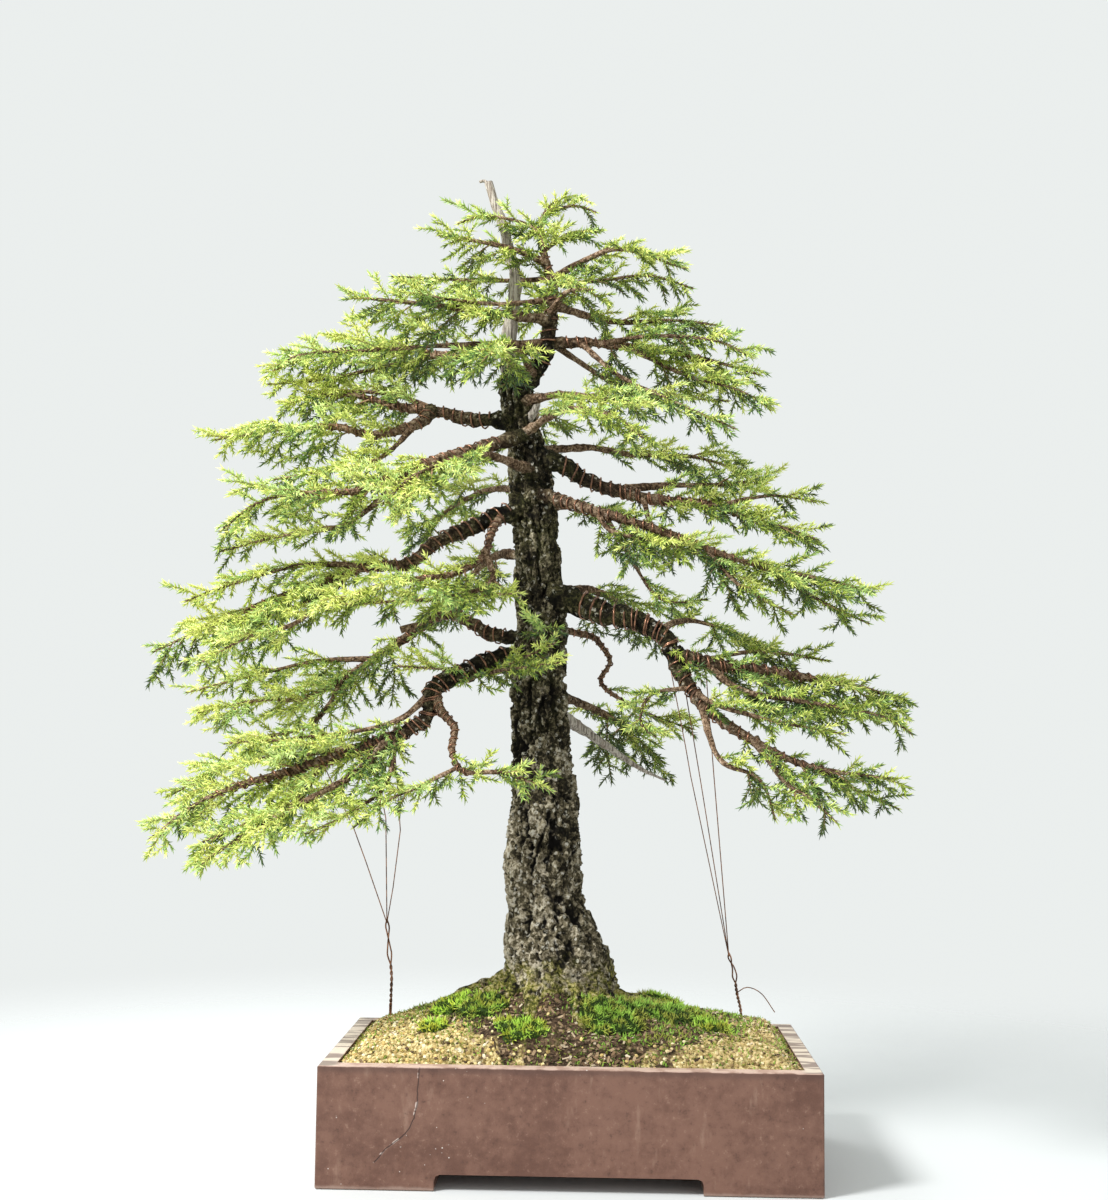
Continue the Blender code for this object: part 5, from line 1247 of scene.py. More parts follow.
def make_moss(settings):
    tree = fronds_tree()
    for number, cushion in enumerate(CUSHIONS):
        material = moss_material(cushion.name, cushion.fresh)
        fronds = shaped(cushion_mesh(cushion), tree, {
            "Density": settings.density, "Frond length": settings.length, "Frond radius": settings.radius,
            "Lean": 0.95, "Seed": SEED + number, "Material": material})
        body = cushion_mesh(cushion)
        body.materials.append(material)
        nodes = [cushion.node] if cushion.node else []
        new_piece(cushion.name, joined(cushion.name, [body, fronds]), "moss", *nodes)
    source = ground_grid("moss_carpet", COVER_CELLS, carpet_share)
    mesh = shaped(source, tree, {
        "Density": settings.density * 0.75, "Frond length": settings.length * 0.70,
        "Frond radius": settings.radius, "Lean": 1.0, "Seed": SEED + 40,
        "Material": moss_material("moss_carpet", 0.25)})
    new_piece("moss_carpet", mesh, "moss")


# Wood

def trunk_at(height):
    """The trunk's axis and radius at a height, smoothed between the rows of its table."""
    number = max(1, next((n for n, row in enumerate(TRUNK) if row[2] >= height), len(TRUNK) - 1))
    first, last = TRUNK[max(0, number - 2)], TRUNK[min(len(TRUNK) - 1, number + 1)]
    a, b = TRUNK[number - 1], TRUNK[number]
    t = clamped((height - a[2]) / (b[2] - a[2]))
    made = []
    for column in (0, 1, 3):
        before = (b[column] - first[column]) / (1 if first is a else 2)
        after = (last[column] - a[column]) / (1 if last is b else 2)
        p, q = a[column], b[column]
        made.append(p * (2 * t ** 3 - 3 * t ** 2 + 1) + before * (t ** 3 - 2 * t ** 2 + t)
                    + q * (3 * t ** 2 - 2 * t ** 3) + after * (t ** 3 - t ** 2))
    return made


def trunk_swell(around, height):
    """How far the root ribs push the trunk's surface out, as a share of its radius."""
    near = clamped((ROOT_RIB_TOP[0] - height) / ROOT_RIB_TOP[1])
    swell = -0.035 * near - 0.045 * clamped((0.30 - height) / 0.05)
    for angle, rise, width in ROOT_RIBS:
        off = math.remainder(around - angle - (height - 0.2) * 1.2, 2 * math.pi)
        swell += rise * near ** 1.6 * math.exp(-(off / width) ** 2)
    swell += 0.060 * noise.noise(Vector((math.cos(around), math.sin(around), height * 9.0)) * 1.3)
    return swell


def trunk_mesh():
    """The smooth body of the trunk as closed rings, ready for its bark."""
    low, high = TRUNK[0][2], TRUNK[-1][2]
    bm = bmesh.new()
    layer = bm.verts.layers.float.new("rough")
    rings = []
    for ring in range(TRUNK_RINGS + 1):
        height = low + (high - low) * ring / TRUNK_RINGS
        x, y, radius = trunk_at(height)
        row = []
        for side in range(TRUNK_SIDES):
            around = 2 * math.pi * side / TRUNK_SIDES
            reach = radius * (1.0 + trunk_swell(around, height))
            place = Vector((x + reach * math.cos(around), y + reach * math.sin(around), height))
            vert = bm.verts.new(HOME + place)
            vert[layer] = min(1.0, 0.45 + radius / 0.060)
            row.append(vert)
        rings.append(row)
    for lower, upper in zip(rings, rings[1:]):
        for side in range(TRUNK_SIDES):
            after = (side + 1) % TRUNK_SIDES
            bm.faces.new((lower[side], lower[after], upper[after], upper[side]))
    for row, turned in ((rings[0], True), (rings[-1], False)):
        middle = bm.verts.new(sum((vert.co for vert in row), Vector()) / TRUNK_SIDES)
        for side in range(TRUNK_SIDES):
            pair = (row[side], row[(side + 1) % TRUNK_SIDES])
            bm.faces.new((*reversed(pair), middle) if turned else (*pair, middle))
    mesh = taken(bm, "trunk_body")
    for face in mesh.polygons:
        face.use_smooth = True
    return mesh


def bark_material():
    """Rough spruce bark: near-black cracks, grey-brown flakes, pale lichen, green and ochre at the foot.
    Painted light makes the side that faces left lighter, with more pale flakes, and the trunk lighter below
    the crown. Painted shade makes the trunk darker high up under the crown.
    """
    def build(nodes):
        place = here(nodes)
        z = nodes.parts(place)[2]
        crack = attribute(nodes, "fissure")
        level = attribute(nodes, "level")
        fine = nodes.noise(place, 300.0, 4.0, 0.7)
        patch = nodes.noise(place, 38.0, 4.0, 0.6)
        chips = nodes.cells(place, 210.0)
        chip = nodes.parts(chips.other("Color"))[0]
        tone_and_painted_light = 0.36 * level + 0.50 * chip + 1.5 * (fine - 0.5) + 1.2 * (patch - 0.5) + 0.02
        # Painted light and shade: lighter where the wood faces left, towards the key light, and low on the
        # trunk below the crown; darker high on the trunk in the crown's shade.
        turned = nodes.parts(nodes.make("ShaderNodeNewGeometry").other("Normal"))[0]
        tone_and_painted_light = tone_and_painted_light + 0.14 * nodes.ramp(z, 0.50, 0.22) + 0.14 * nodes.ramp(turned, -0.25, -0.85)
        tone_and_painted_light = tone_and_painted_light - 0.10 * nodes.ramp(z, 0.62, 0.74)
        plates = nodes.colours(tone_and_painted_light, (0.0, (0.005, 0.005, 0.003)), (0.25, (0.016, 0.013, 0.008)),
                               (0.5, (0.060, 0.050, 0.028)), (0.72, (0.215, 0.180, 0.115)),
                               (1.0, (0.56, 0.50, 0.38)))
        # Pale lichen flakes, with more of them on the side that faces left as a painted highlight.
        pale = nodes.parts(chips.other("Color"))[1] + (patch - 0.5) * 0.9
        pale = nodes.ramp(pale + 0.16 * nodes.ramp(turned, -0.2, -0.8), 0.80, 0.86)
        pale = pale * nodes.ramp(chips, 0.60, 0.35) * nodes.ramp(fine, 0.44, 0.54)
        plates = nodes.blend(pale * 0.85, plates, colour(0.56, 0.53, 0.45))
        base = nodes.blend(nodes.ramp(crack, 0.45, 0.95), plates, colour(0.005, 0.004, 0.003))
        olive = nodes.ramp(z, 0.34, 0.62) * nodes.ramp(patch, 0.42, 0.60)
        algae = nodes.blend(nodes.ramp(fine, 0.4, 0.6), colour(0.02, 0.022, 0.008),
                            colour(0.17, 0.165, 0.060))
        base = nodes.blend(olive * 0.35, base, algae)
        thin = nodes.colours((fine - 0.5) * 2.2 + patch, (0.0, (0.022, 0.012, 0.007)),
                             (0.35, (0.105, 0.062, 0.036)), (0.65, (0.36, 0.235, 0.150)),
                             (1.0, (0.72, 0.55, 0.42)))
        base = nodes.blend(attribute(nodes, "young") * nodes.ramp(z, 0.20, 0.26) * 0.85, base, thin)
        foot = nodes.ramp(z + (patch - 0.5) * 0.08, 0.215, 0.190)
        green = nodes.colours((fine - 0.5) * 3.0 + patch + 0.04, (0.0, (0.022, 0.018, 0.008)),
                              (0.40, (0.120, 0.130, 0.026)), (0.62, (0.34, 0.30, 0.07)),
                              (1.0, (0.62, 0.52, 0.30)))
        base = nodes.blend(foot * nodes.ramp(nodes.noise(place, 80.0, 3.0), 0.38, 0.56) * 0.9, base, green)
        height = fine * 0.8 + chip * 0.6 - crack * 0.4
        return {"Base Color": base, "Roughness": 0.92, "Normal": bumped(nodes, height, 0.0038)}
    return finish_material("rough_bark", build, 0.12)


def dead_wood_material():
    """Weathered heartwood: silver grey with long checks."""
    def build(nodes):
        place = here(nodes)
        grain = nodes.noise(nodes.vectors("MULTIPLY", place, (520.0, 520.0, 42.0)), 1.0, 3.0, 0.6)
        base = nodes.blend(nodes.ramp(grain, 0.34, 0.62), colour(0.135, 0.108, 0.086),
                           colour(0.52, 0.47, 0.40))
        patch = nodes.ramp(nodes.noise(place, 40.0, 2.0), 0.50, 0.66)
        base = nodes.blend(patch * 0.5, base, colour(0.22, 0.165, 0.12))
        return {"Base Color": base, "Roughness": 0.85, "Normal": bumped(nodes, grain, 0.0009)}
    return finish_material("silver_dead_wood", build)


def twig_material():
    """Young bark: warm light brown."""
    def build(nodes):
        fine = nodes.noise(here(nodes), 500.0, 3.0)
        base = nodes.blend(nodes.ramp(fine, 0.35, 0.65), colour(0.17, 0.095, 0.045), colour(0.40, 0.27, 0.15))
        return {"Base Color": base, "Roughness": 0.8}
    return finish_material("twig_bark", build, 0.25)


def make_trunk(settings, bark):
    """The trunk with its plates and cracks, from under the mound to the fork."""
    mesh = shaped(trunk_mesh(), bark_tree(), {
        "Plate size": settings.plate_size, "Plate depth": settings.plate_depth,
        "Crack depth": settings.crack_depth, "Grain size": 0.0060, "Grain depth": 0.0035, "Material": bark})
    new_piece("trunk", mesh, "bark", "tree_wood")


def make_limbs(settings, bark):
    """Branches, surface roots and dead wood as one piece of rough tubes for each finish."""
    tree = limb_tree()
    lines = Lines("thick")
    for branch in BRANCHES + SIDE_LIMBS:
        path = Path(smooth(branch.route))
        step = RING_STEPS[0 if branch.thick > THICK_WOOD else 1]
        points = path.stretch(0.0, path.length - WOOD_END, step)
        count = len(points) - 1
        lines.add(points, thick=[branch_radius(branch, number / count) for number in range(count + 1)])
    draw = random.Random(SEED)
    for heading, length, thick, rise in SURFACE_ROOTS:
        angle = math.radians(heading)
        points = []
        count = round(length / ROOT_STEP)
        for number in range(count + 1):
            share = number / count
            angle += draw.uniform(-0.05, 0.05)
            away = ROOT_START + length * share
            x = TRUNK[1][0] + away * math.cos(angle) * 1.1
            y = TRUNK[1][1] + away * math.sin(angle)
            radius = thick * (1.0 - 0.75 * share)
            points.append(Vector((x, y, ground_height(x, y) - radius * 0.3 + rise * (1.0 - share) ** 2.4)))
        lines.add(points, thick=[thick * (1.0 - 0.75 * number / count) for number in range(count + 1)])
    mesh = shaped(lines.mesh("limbs"), tree, {
        "Sides": 9, "Gnarl": settings.gnarl, "Gnarl size": 0.017, "Plate size": 0.0085, "Plate depth": 0.0022,
        "Old": OLD_WOOD, "Material": bark})
    new_piece("limbs", mesh, "bark", "tree_wood")
    lines = Lines("thick")
    for thick, thin, route in DEAD_WOOD:
        path = Path(smooth(route))
        points = path.stretch(0.0, path.length, 0.0030)
        count = len(points) - 1
        radii = [thick + (thin - thick) * (number / count) ** BRANCH_TAPER for number in range(count + 1)]
        lines.add(points, thick=radii)
    mesh = shaped(lines.mesh("dead_wood"), tree, {
        "Sides": 12, "Gnarl": settings.gnarl * 0.7, "Gnarl size": 0.009, "Plate size": 0.0085,
        "Plate depth": 0.0006, "Old": OLD_WOOD, "Material": dead_wood_material()})
    new_piece("dead_wood", mesh, "bark", "tree_wood")


# Foliage

def inside(point):
    """Whether needles at a point would stay inside the packed model's box."""
    place = point + HOME
    low, high = CAD_BOX
    if point.z >= LIVE_TOP:
        return False
    return all(low[axis] + STEM_ROOM < place[axis] < high[axis] - STEM_ROOM for axis in range(3))


def side_way(heading, side, angle, roll):
    """A direction that leaves a heading to one side, rolled up or down about it."""
    level, up = square_axes(heading)
    out = level * (side * math.cos(roll)) + up * math.sin(roll)
    return (heading * math.cos(angle) + out * math.sin(angle)).normalized()


def bent(start, heading, length, onward, sweep, droop, draw, spacing):
    """The points of a twig that swings towards a direction and sinks as it goes."""
    count = max(2, round(length / spacing))
    step = length / count
    points = [start]
    for _ in range(count):
        stray = Vector((draw.uniform(-1, 1), draw.uniform(-1, 1), draw.uniform(-1, 1))) * 0.05
        heading = (heading + onward * (sweep * step) - UP * (droop * step) + stray).normalized()
        point = points[-1] + heading * step
        if not inside(point):
            break
        points.append(point)
    return points


class Foliage:
    """Grows the leafy stems of one group of branches."""

    def __init__(self, settings, seed):
        self.settings = settings
        self.draw = random.Random(seed)
        self.lines = Lines("thick", "leafy", "lean", "long", "fresh")

    def stem(self, points, thick, thin, bare, fresh, long=1.0):
        """Adds a stem whose needles start at a share of its length and close over its tip."""
        outer = (number for number, point in enumerate(points) if not inside(point))
        points = points[:next(outer, None)]
        count = len(points) - 1
        if count < 1:
            return
        radii = [thick + (thin - thick) * number / count for number in range(count + 1)]
        leafy = [1.0 if number / count >= bare else 0.0 for number in range(count + 1)]
        lean = [self.settings.lean] * count + [0.30]
        self.lines.add(points, thick=radii, leafy=leafy, lean=lean, long=long, fresh=fresh)

    def shoots(self, path, length, level, fresh):
        """Side shoots along a twig, left and right in turn, with shorter ones of their own."""
        draw = self.draw
        side = draw.choice((-1, 1))
        place = min(0.010, path.length * 0.3)
        while place < path.length - 0.005:
            start, heading = path.at(place)
            size = min(length, 0.45 * (path.length - place) + 0.014) * draw.uniform(0.7, 1.2)
            roll = draw.gauss(4, 24)
            way = side_way(heading, side, math.radians(draw.uniform(38, 60)), math.radians(roll))
            points = bent(start, way, size, heading, 8.0, 9.0, draw, 0.0135)
            # Painted light and shade: a shoot that rises is painted lighter and one that hangs darker.
            tone_and_painted_light = fresh + 0.006 * roll + draw.uniform(-0.20, 0.20)
            self.stem(points, *SHOOT_RADII, 0.0, tone_and_painted_light, SHORT_NEEDLES)
            if level and size > 0.022 and len(points) > 2:
                self.shoots(Path(points), 0.015, level - 1, fresh + 0.05)
            side = -side
            place += self.settings.shoot_step * draw.uniform(0.75, 1.25)

    def branch(self, branch):
        """The pad of one branch: side twigs that spread from its bare end to its tip, above and below it."""
        draw = self.draw
        path = Path(smooth(branch.route))
        end = path.length - LEAF_END
        bare = branch.bare * path.length
        leafy = bare + 0.40 * (end - bare)
        across = branch.route[-1][0]
        # Painted light and shade: the needles of branches on the left are painted lighter, those on the right
        # darker, and those of branches at the back darker still.
        fresh = 0.51 - (0.42 if across > 0 else 0.25) * across
        if branch.route[-1][1] > 0.15:
            fresh -= 0.14
        self.stem(path.stretch(leafy, end, 0.009), *TIP_RADII, 0.0, fresh + 0.1)
        side = draw.choice((-1, 1))
        place = bare
        turn = draw.uniform(0, 2 * math.pi)
        while place < end - 0.010:
            start, heading = path.at(place)
            along = (place - bare) / (end - bare)
            width = min(1.0, 0.60 + along * 1.6) * (1.0 - 0.72 * along ** 1.6)
            length = max(0.018, branch.reach * width * draw.uniform(0.72, 1.18))
            roll = draw.gauss(0, self.settings.spread)
            if abs(heading.z) > 0.8:
                turn += GOLDEN_ANGLE
                way = side_way(heading, 1, math.radians(70), turn)
            else:
                angle = math.radians(draw.uniform(46, 70) - 16 * along)
                way = side_way(heading, side, angle, math.radians(roll))
            points = bent(start, way, length, heading, 5.0, self.settings.droop, draw, 0.010)
            # Painted light and shade: a twig that rises is painted lighter and one that sinks darker. It is
            # also lighter towards the branch's end, and differs at random.
            tone_and_painted_light = fresh + 0.10 * along + 0.006 * roll + draw.uniform(-0.12, 0.12)
            self.stem(points, *TWIG_RADII, 0.22 if length > 0.04 else 0.0, tone_and_painted_light)
            if len(points) > 2:
                self.shoots(Path(points), 0.036, 1, tone_and_painted_light)
            side = -side
            place += self.settings.twig_step * draw.uniform(0.8, 1.2) * (1.10 if across > 0 else 0.88)
        self.tufts(path, bare * 0.85, end, fresh)

    def tufts(self, path, first, end, fresh):
        """Short shoots that stand up from the branch or hang under it."""
        draw = self.draw
        place = first
        while place < end - 0.012:
            start, heading = path.at(place)
            roll = draw.choice((50, 70, 90, 110, 130, -50, -75, -100, -130))
            way = side_way(heading, 1, math.radians(draw.uniform(35, 65)), math.radians(roll))
            size = draw.uniform(0.016, 0.038)
            points = bent(start, way, size, heading, 12.0, 4.0, draw, 0.0115)
            # Painted light and shade: a standing tuft is painted lighter and a hanging one darker.
            tone_and_painted_light = fresh + (0.14 if roll > 0 else -0.14) + draw.uniform(-0.1, 0.1)
            self.stem(points, *SHOOT_RADII, 0.0, tone_and_painted_light, SHORT_NEEDLES)
            if len(points) > 2:
                self.shoots(Path(points), 0.014, 0, tone_and_painted_light)
            place += self.settings.tuft_step * draw.uniform(0.7, 1.3)


def needle_material():
    """Spruce needles: darker at the root, as painted shade inside the shoot, and yellower at the tip. Fresh
    shoots are yellower, and so are shoots with painted light: on the left and where shoots rise. Painted
    shade makes them darker on the right, at the back and where shoots hang.
    """
    def build(nodes):
        # How fresh the shoot is, together with the painted light and shade that the stems carry.
        fresh = attribute(nodes, "fresh")
        tint = attribute(nodes, "tint")
        along = attribute(nodes, "along")
        young = nodes.ramp(fresh + (tint - 0.5) * 0.42, 0.02, 0.96)
        patch = nodes.noise(here(nodes), 22.0, 2.0)
        warm = nodes.colours(young, (0.0, (0.060, 0.098, 0.016)), (0.3, (0.205, 0.290, 0.038)),
                             (0.6, (0.46, 0.57, 0.085)), (1.0, (0.83, 0.88, 0.25)))
        cool = nodes.colours(young, (0.0, (0.025, 0.062, 0.024)), (0.3, (0.110, 0.215, 0.055)),
                             (0.6, (0.32, 0.51, 0.12)), (1.0, (0.66, 0.83, 0.30)))
        base = nodes.blend(nodes.ramp(patch + (tint - 0.5) * 0.30, 0.36, 0.55), cool, warm)
        # Painted shade: the root half of each needle, deep inside the shoot, is darkened.
        base = nodes.blend(nodes.ramp(along, 0.35, 0.0) * 0.40, base, colour(0.12, 0.14, 0.03))
        return {"Base Color": base, "Roughness": 0.48}
    return finish_material("spruce_needles", build, 0.35)


def spray_nodes(names):
    """The packed spray nodes of some branches."""
    wanted = re.compile(r"spray_(" + "|".join(names) + r")(_[0-9]+)?")
    return [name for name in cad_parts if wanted.fullmatch(name)]


def make_foliage(settings):
    tree = stems_tree()
    twig, needles = twig_material(), needle_material()
    for number, group in enumerate(GROUPS):
        foliage = Foliage(settings, SEED + number)
        members = [branch for branch in BRANCHES if branch.group == group]
        for branch in members + [limb for limb in SIDE_LIMBS if limb.group == group]:
            foliage.branch(branch)
        mesh = shaped(foliage.lines.mesh(group), tree, {
            "Needle length": settings.length, "Needle radius": settings.radius,
            "Needle spacing": settings.spacing, "Seed": SEED + number, "Twig material": twig,
            "Needle material": needles})
        new_piece("foliage_" + group, mesh, "needles", *spray_nodes([branch.name for branch in members]))


# Copper wire

def copper_material():
    """Annealed copper: warm brown-red with darker tarnish."""
    def build(nodes):
        tarnish = nodes.ramp(nodes.noise(here(nodes), 120.0, 3.0), 0.38, 0.66)
        base = nodes.blend(tarnish, colour(0.36, 0.185, 0.115), colour(0.12, 0.066, 0.045))
        rough = 0.34 + 0.3 * tarnish
        return {"Base Color": base, "Metallic": 0.85, "Roughness": rough}
    return finish_material("annealed_copper", build)


def coil_points(branch, first, last, pitch, wire):
    """The turns of a wire wound round a stretch of a branch, with its ends tucked against the bark."""
    path = Path(smooth(branch.route))
    turns = (last - first) * path.length / pitch
    count = max(8, round(turns * COIL_STEPS))
    centres = path.stretch(first * path.length, last * path.length, (last - first) * path.length / count)
    points = []
    for number, (centre, (level, up)) in enumerate(zip(centres, carried_axes(centres))):
        share = first + (last - first) * number / count
        angle = 2 * math.pi * turns * number / count + 0.35 * math.sin(number * 0.37)
        ring = branch_radius(branch, share) + wire * (1.0 - COIL_SEAT)
        points.append(centre + (level * math.cos(angle) + up * math.sin(angle)) * ring)
    return points


def make_training_wires(copper):
    lines = Lines("thick")
    for name, first, last, pitch, wire in COILS:
        lines.add(coil_points(branch_named(name), first, last, pitch, wire), thick=wire)
    mesh = shaped(lines.mesh("training_wires"), wire_tree(), {"Sides": 5, "Material": copper})
    new_piece("training_wires", mesh, "copper", "coil_lower_left", "coil_lower_right")


def hooked(branch, share, wire):
    """The points of a wire end that is bent round a branch."""
    path = Path(smooth(branch.route))
    centre, heading = path.at(share * path.length)
    level, up = square_axes(heading)
    ring = branch_radius(branch, share) + wire * 0.7
    points = []
    for step in range(HOOK_STEPS + 1):
        angle = -0.75 * math.pi + 1.9 * math.pi * step / HOOK_STEPS
        drift = heading * (0.0016 * step / HOOK_STEPS)
        points.append(centre + (level * math.cos(angle) + up * math.sin(angle)) * ring + drift)
    return points


def twisted(path, first, last, turns, ring, phase):
    """One wire of a pair twisted round each other along a stretch of a route."""
    count = max(6, round(abs(turns) * 12))
    centres = path.stretch(first, last, (last - first) / count)
    points = []
    for number, (centre, (level, up)) in enumerate(zip(centres, carried_axes(centres))):
        angle = phase + 2 * math.pi * turns * number / count
        points.append(centre + (level * math.cos(angle) + up * math.sin(angle)) * ring)
    return points


def guy_lines(route, strands, tail=None):
    """A guy wire: two wires twisted together, a narrow loop above, and strands up to the branches."""
    lines = Lines("thick")
    path = Path(smooth(route, 0.003))
    low = path.length * 0.42
    for phase in (0.0, math.pi):
        start = twisted(path, 0.0, path.length * 0.24, 0.3, GUY_RADIUS * 0.9, phase)
        tight = twisted(path, path.length * 0.25, low * 1.45, 3.5, GUY_RADIUS * 1.05, phase + 0.6 * math.pi)
        loop = twisted(path, low * 1.5, path.length, 0.5, LOOP_RADIUS, phase + 0.2)
        lines.add(smooth(start + tight + loop[1:-1] + [path.points[-1]], 0.002), thick=GUY_RADIUS)
    for name, share, way in strands:
        branch = branch_named(name)
        end = hooked(branch, share, STRAND_RADIUS)
        points = [path.points[-1] - UP * 0.004] + [Vector(point) for point in way] + end
        lines.add(points, thick=STRAND_RADIUS)
    if tail:
        lines.add(smooth(tail, 0.004), thick=STRAND_RADIUS)
    return lines


def make_guys(copper):
    tree = wire_tree()
    guys = (("guy_left", LEFT_GUY, LEFT_STRANDS, None, "guy_wire_left"),
            ("guy_right", RIGHT_GUY, RIGHT_STRANDS, GUY_TAIL, "guy_wire_right"))
    for name, route, strands, tail, node in guys:
        mesh = shaped(guy_lines(route, strands, tail).mesh(name), tree, {"Sides": 6, "Material": copper})
        new_piece(name, mesh, "copper", node)


# The stage

def make_stage(settings):
    """A plain pale floor that fades out, plain soft light and the camera."""
    scene = bpy.context.scene
    scene.view_settings.view_transform = "Standard"
    world = bpy.data.worlds.new("pale_studio")
    world.use_nodes = True
    background = world.node_tree.nodes["Background"]
    background.inputs["Color"].default_value = colour(*settings.backdrop)
    background.inputs["Strength"].default_value = settings.backdrop_strength
    scene.world = world

    bm = bmesh.new()
    bmesh.ops.create_circle(bm, cap_ends=True, segments=96, radius=FLOOR_RADIUS)
    mesh = taken(bm, "floor")
    mesh.transform(Matrix.Translation(HOME - UP * FLOOR_GAP))

    def build(nodes):
        x, y, _ = nodes.parts(here(nodes))
        away = nodes.maths("SQRT", x * x + y * y)
        return {"Base Color": colour(*settings.floor), "Roughness": 0.9, "Alpha": nodes.ramp(away, 1.6, 0.45)}
    mesh.materials.append(finish_material("pale_floor", build))
    floor = bpy.data.objects.new("floor", mesh)
    scene.collection.objects.link(floor)

    aim = HOME + UP * LIGHT_AIM
    for name, place, size in LIGHTS:
        lamp = bpy.data.lights.new(name, "AREA")
        lamp.shape = "DISK"
        lamp.size = size
        lamp.energy = getattr(settings, name)
        shown = bpy.data.objects.new(name, lamp)
        shown.location = HOME + Vector(place)
        shown.rotation_euler = (aim - shown.location).to_track_quat("-Z", "Y").to_euler()
        scene.collection.objects.link(shown)

    camera = bpy.data.objects.new("camera", bpy.data.cameras.new("camera"))
    turn = Matrix((CAMERA_RIGHT, CAMERA_UP, -CAMERA_VIEW)).transposed().to_4x4()
    camera.matrix_world = Matrix.Translation(HOME + CAMERA_PLACE) @ turn
    camera.data.lens = CAMERA_LENS
    camera.data.sensor_width = CAMERA_SENSOR
    camera.data.clip_start = 0.05
    scene.collection.objects.link(camera)
    scene.camera = camera


# Settings

def number_property(name, description, default, low=0.0, **more):
    return bpy.props.FloatProperty(name=name, description=description, default=default, min=low, **more)


def length_property(name, description, default):
    return number_property(name, description, default, 0.0001, precision=5, unit="LENGTH")


def colour_property(name, description, default):
    return bpy.props.FloatVectorProperty(name=name, description=description, default=default, size=3,
                                         min=0.0, max=1.0, subtype="COLOR")


class BONSAI_PG_tray(bpy.types.PropertyGroup):
    """The tray's clay"""
    clay: colour_property("Clay", "Colour of the darker clay", (0.112, 0.049, 0.032))
    clay_light: colour_property("Light clay", "Colour of the clouds in the clay", (0.178, 0.088, 0.060))


class BONSAI_PG_ground(bpy.types.PropertyGroup):
    """Gravel and litter"""
    spacing: length_property("Grain spacing", "Least distance between two grains", 0.0040)
    smallest: length_property("Smallest grain", "Half the length of the smallest grain", 0.0016)
    largest: length_property("Largest grain", "Half the length of the largest grain", 0.0029)
    density: number_property("Litter density", "Flakes on each square metre", 52000.0)


class BONSAI_PG_moss(bpy.types.PropertyGroup):
    """Moss fronds"""
    length: length_property("Frond length", "Length of a full frond", 0.0066)
    radius: length_property("Frond radius", "Radius of a frond at its foot", 0.00095)
    density: number_property("Frond density", "Fronds on each square metre", 250000.0)


class BONSAI_PG_wood(bpy.types.PropertyGroup):
    """Bark of the trunk and branches"""
    plate_size: length_property("Plate size", "Width of a bark plate on the trunk", 0.0105)
    plate_depth: length_property("Plate depth", "Height of the ragged plates", 0.0052)
    crack_depth: length_property("Crack depth", "Depth of the long upright cracks", 0.0055)
    gnarl: number_property("Gnarl", "Swelling of a branch as a share of its radius", 0.9, max=2.0)


class BONSAI_PG_needles(bpy.types.PropertyGroup):
    """Needles and shoots"""
    length: length_property("Needle length", "Length of a full needle", 0.0078)
    radius: length_property("Needle radius", "Radius of a needle at its foot", 0.00108)
    spacing: length_property("Needle spacing", "Distance along a shoot from one needle to the next", 0.00122)
    twig_step: length_property("Twig spacing", "Distance along a branch between side twigs", 0.0180)
    shoot_step: length_property("Shoot spacing", "Distance along a twig between shoots", 0.0110)
    tuft_step: length_property("Tuft spacing", "Distance between standing or hanging shoots", 0.018)
    spread: number_property("Spread", "How far side twigs stray up and down, in degrees", 30.0, max=90.0)
    lean: number_property("Needle lean", "Angle of a needle to its shoot", math.radians(54),
                          max=math.pi / 2, unit="ROTATION")
    droop: number_property("Droop", "How fast a side twig sinks", 8.0)


class BONSAI_PG_stage(bpy.types.PropertyGroup):
    """Backdrop, floor and lights"""
    backdrop: colour_property("Backdrop", "Colour of the space round the object", (0.83, 0.86, 0.85))
    backdrop_strength: number_property("Backdrop strength", "Brightness of the backdrop", 1.0)
    floor: colour_property("Floor", "Colour of the floor", (0.66, 0.68, 0.68))
    key: number_property("Key light", "Power of the light from the upper left", 95.0, unit="POWER")
    fill: number_property("Fill light", "Power of the light from the right", 6.0, unit="POWER")
    rim: number_property("Rim light", "Power of the light from behind", 20.0, unit="POWER")


# Operators

class BONSAI_OT_tray(bpy.types.Operator):
    """Give the packed tray its stoneware finish"""
    bl_idname = "bonsai.tray"
    bl_label = "Tray"

    def execute(self, context):
        finish_pot(context.scene.bonsai_tray)
        return {"FINISHED"}


class BONSAI_OT_soil(bpy.types.Operator):
    """Make the bed of soil"""
    bl_idname = "bonsai.soil"
    bl_label = "Soil"

    def execute(self, context):
        make_soil()
        return {"FINISHED"}


class BONSAI_OT_gravel(bpy.types.Operator):
    """Spread gravel over the open ground"""
    bl_idname = "bonsai.gravel"
    bl_label = "Gravel"

    def execute(self, context):
        make_gravel(context.scene.bonsai_ground)
        return {"FINISHED"}


class BONSAI_OT_litter(bpy.types.Operator):
    """Spread bark litter over the mound"""
    bl_idname = "bonsai.litter"
    bl_label = "Litter"

    def execute(self, context):
        make_litter(context.scene.bonsai_ground)
        return {"FINISHED"}


class BONSAI_OT_moss(bpy.types.Operator):
    """Grow the moss cushions and the thin moss between them"""
    bl_idname = "bonsai.moss"
    bl_label = "Moss"

    def execute(self, context):
        make_moss(context.scene.bonsai_moss)
        return {"FINISHED"}


class BONSAI_OT_wood(bpy.types.Operator):
    """Make the trunk, the limbs and the dead wood"""
    bl_idname = "bonsai.wood"
    bl_label = "Wood"

    def execute(self, context):
        bark = bark_material()
        make_trunk(context.scene.bonsai_wood, bark)
        make_limbs(context.scene.bonsai_wood, bark)
        return {"FINISHED"}


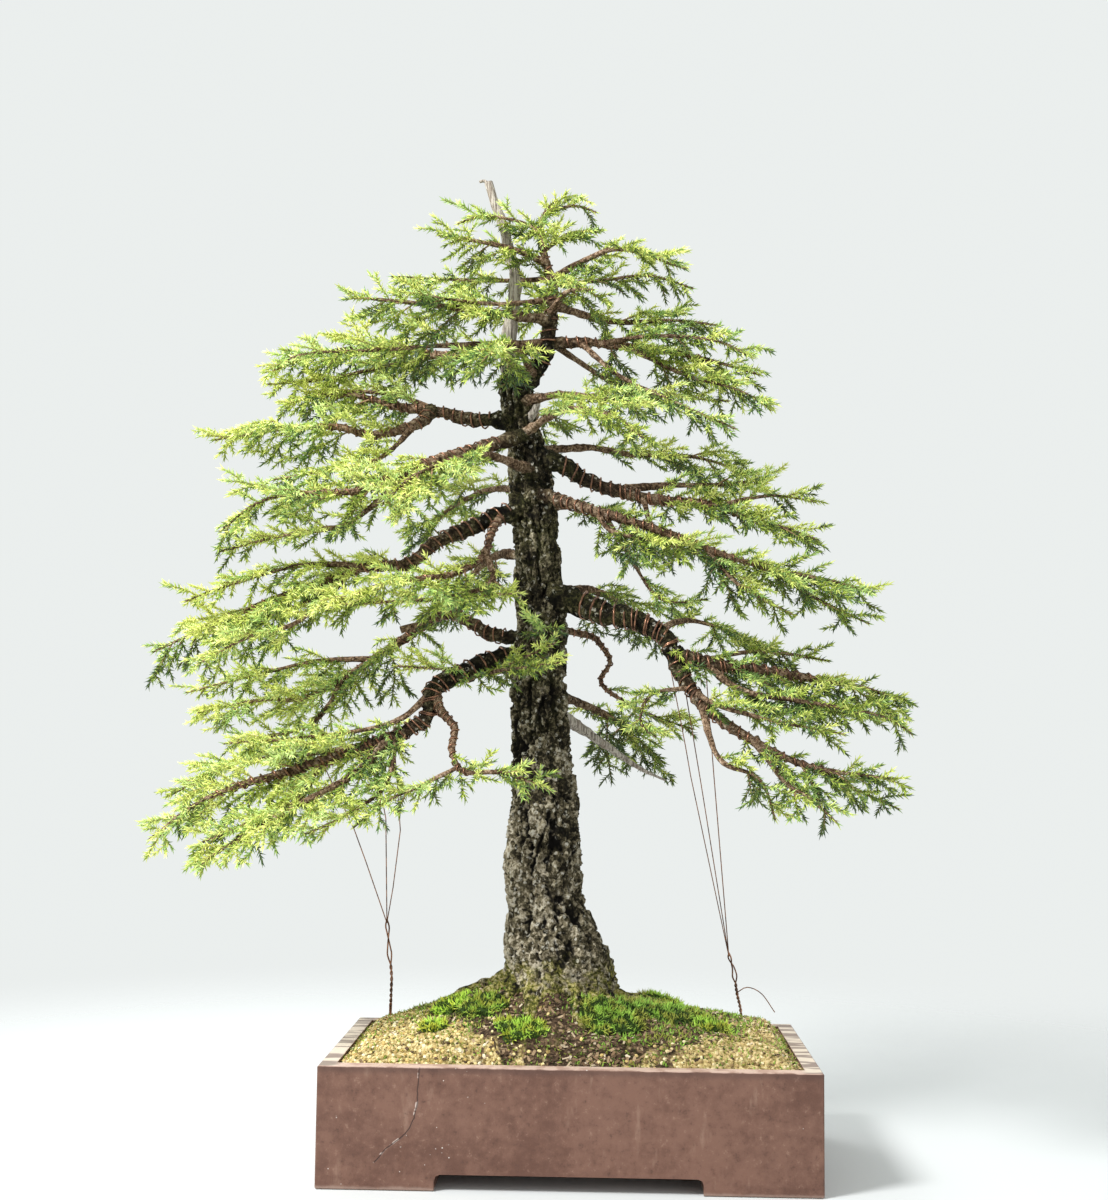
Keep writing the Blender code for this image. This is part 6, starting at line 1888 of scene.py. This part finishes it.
class BONSAI_OT_foliage(bpy.types.Operator):
    """Grow the needled shoots of every branch"""
    bl_idname = "bonsai.foliage"
    bl_label = "Foliage"

    def execute(self, context):
        make_foliage(context.scene.bonsai_needles)
        return {"FINISHED"}


class BONSAI_OT_wires(bpy.types.Operator):
    """Wind the training wires and draw the guy wires"""
    bl_idname = "bonsai.wires"
    bl_label = "Wires"

    def execute(self, context):
        copper = copper_material()
        make_training_wires(copper)
        make_guys(copper)
        return {"FINISHED"}


class BONSAI_OT_stage(bpy.types.Operator):
    """Set the floor, the light and the camera"""
    bl_idname = "bonsai.stage"
    bl_label = "Stage"

    def execute(self, context):
        make_stage(context.scene.bonsai_stage)
        return {"FINISHED"}


SETTINGS = {
    "bonsai_tray": BONSAI_PG_tray, "bonsai_ground": BONSAI_PG_ground, "bonsai_moss": BONSAI_PG_moss,
    "bonsai_wood": BONSAI_PG_wood, "bonsai_needles": BONSAI_PG_needles, "bonsai_stage": BONSAI_PG_stage,
}
OPERATORS = (
    BONSAI_OT_tray, BONSAI_OT_soil, BONSAI_OT_gravel, BONSAI_OT_litter, BONSAI_OT_moss, BONSAI_OT_wood,
    BONSAI_OT_foliage, BONSAI_OT_wires, BONSAI_OT_stage,
)


class BONSAI_PT_pieces(bpy.types.Panel):
    """The bonsai's pieces and their settings"""
    bl_idname = "BONSAI_PT_pieces"
    bl_label = "Norway spruce bonsai"
    bl_space_type = "VIEW_3D"
    bl_region_type = "UI"
    bl_category = "Bonsai"

    def draw(self, context):
        for name, group in SETTINGS.items():
            box = self.layout.box()
            box.label(text=group.__doc__)
            for key in group.__annotations__:
                box.prop(getattr(context.scene, name), key)
        for operator in OPERATORS:
            self.layout.operator(operator.bl_idname)


def register():
    for group in SETTINGS.values():
        bpy.utils.register_class(group)
    for name, group in SETTINGS.items():
        setattr(bpy.types.Scene, name, bpy.props.PointerProperty(type=group))
    for kind in (*OPERATORS, BONSAI_PT_pieces):
        bpy.utils.register_class(kind)


def unregister():
    for kind in reversed((*OPERATORS, BONSAI_PT_pieces)):
        bpy.utils.unregister_class(kind)
    for name in SETTINGS:
        delattr(bpy.types.Scene, name)
    for group in SETTINGS.values():
        bpy.utils.unregister_class(group)


def main():
    """Makes every piece in order."""
    register()
    for operator in OPERATORS:
        getattr(bpy.ops.bonsai, operator.bl_idname.split(".")[1])()


if __name__ == "__main__":
    main()
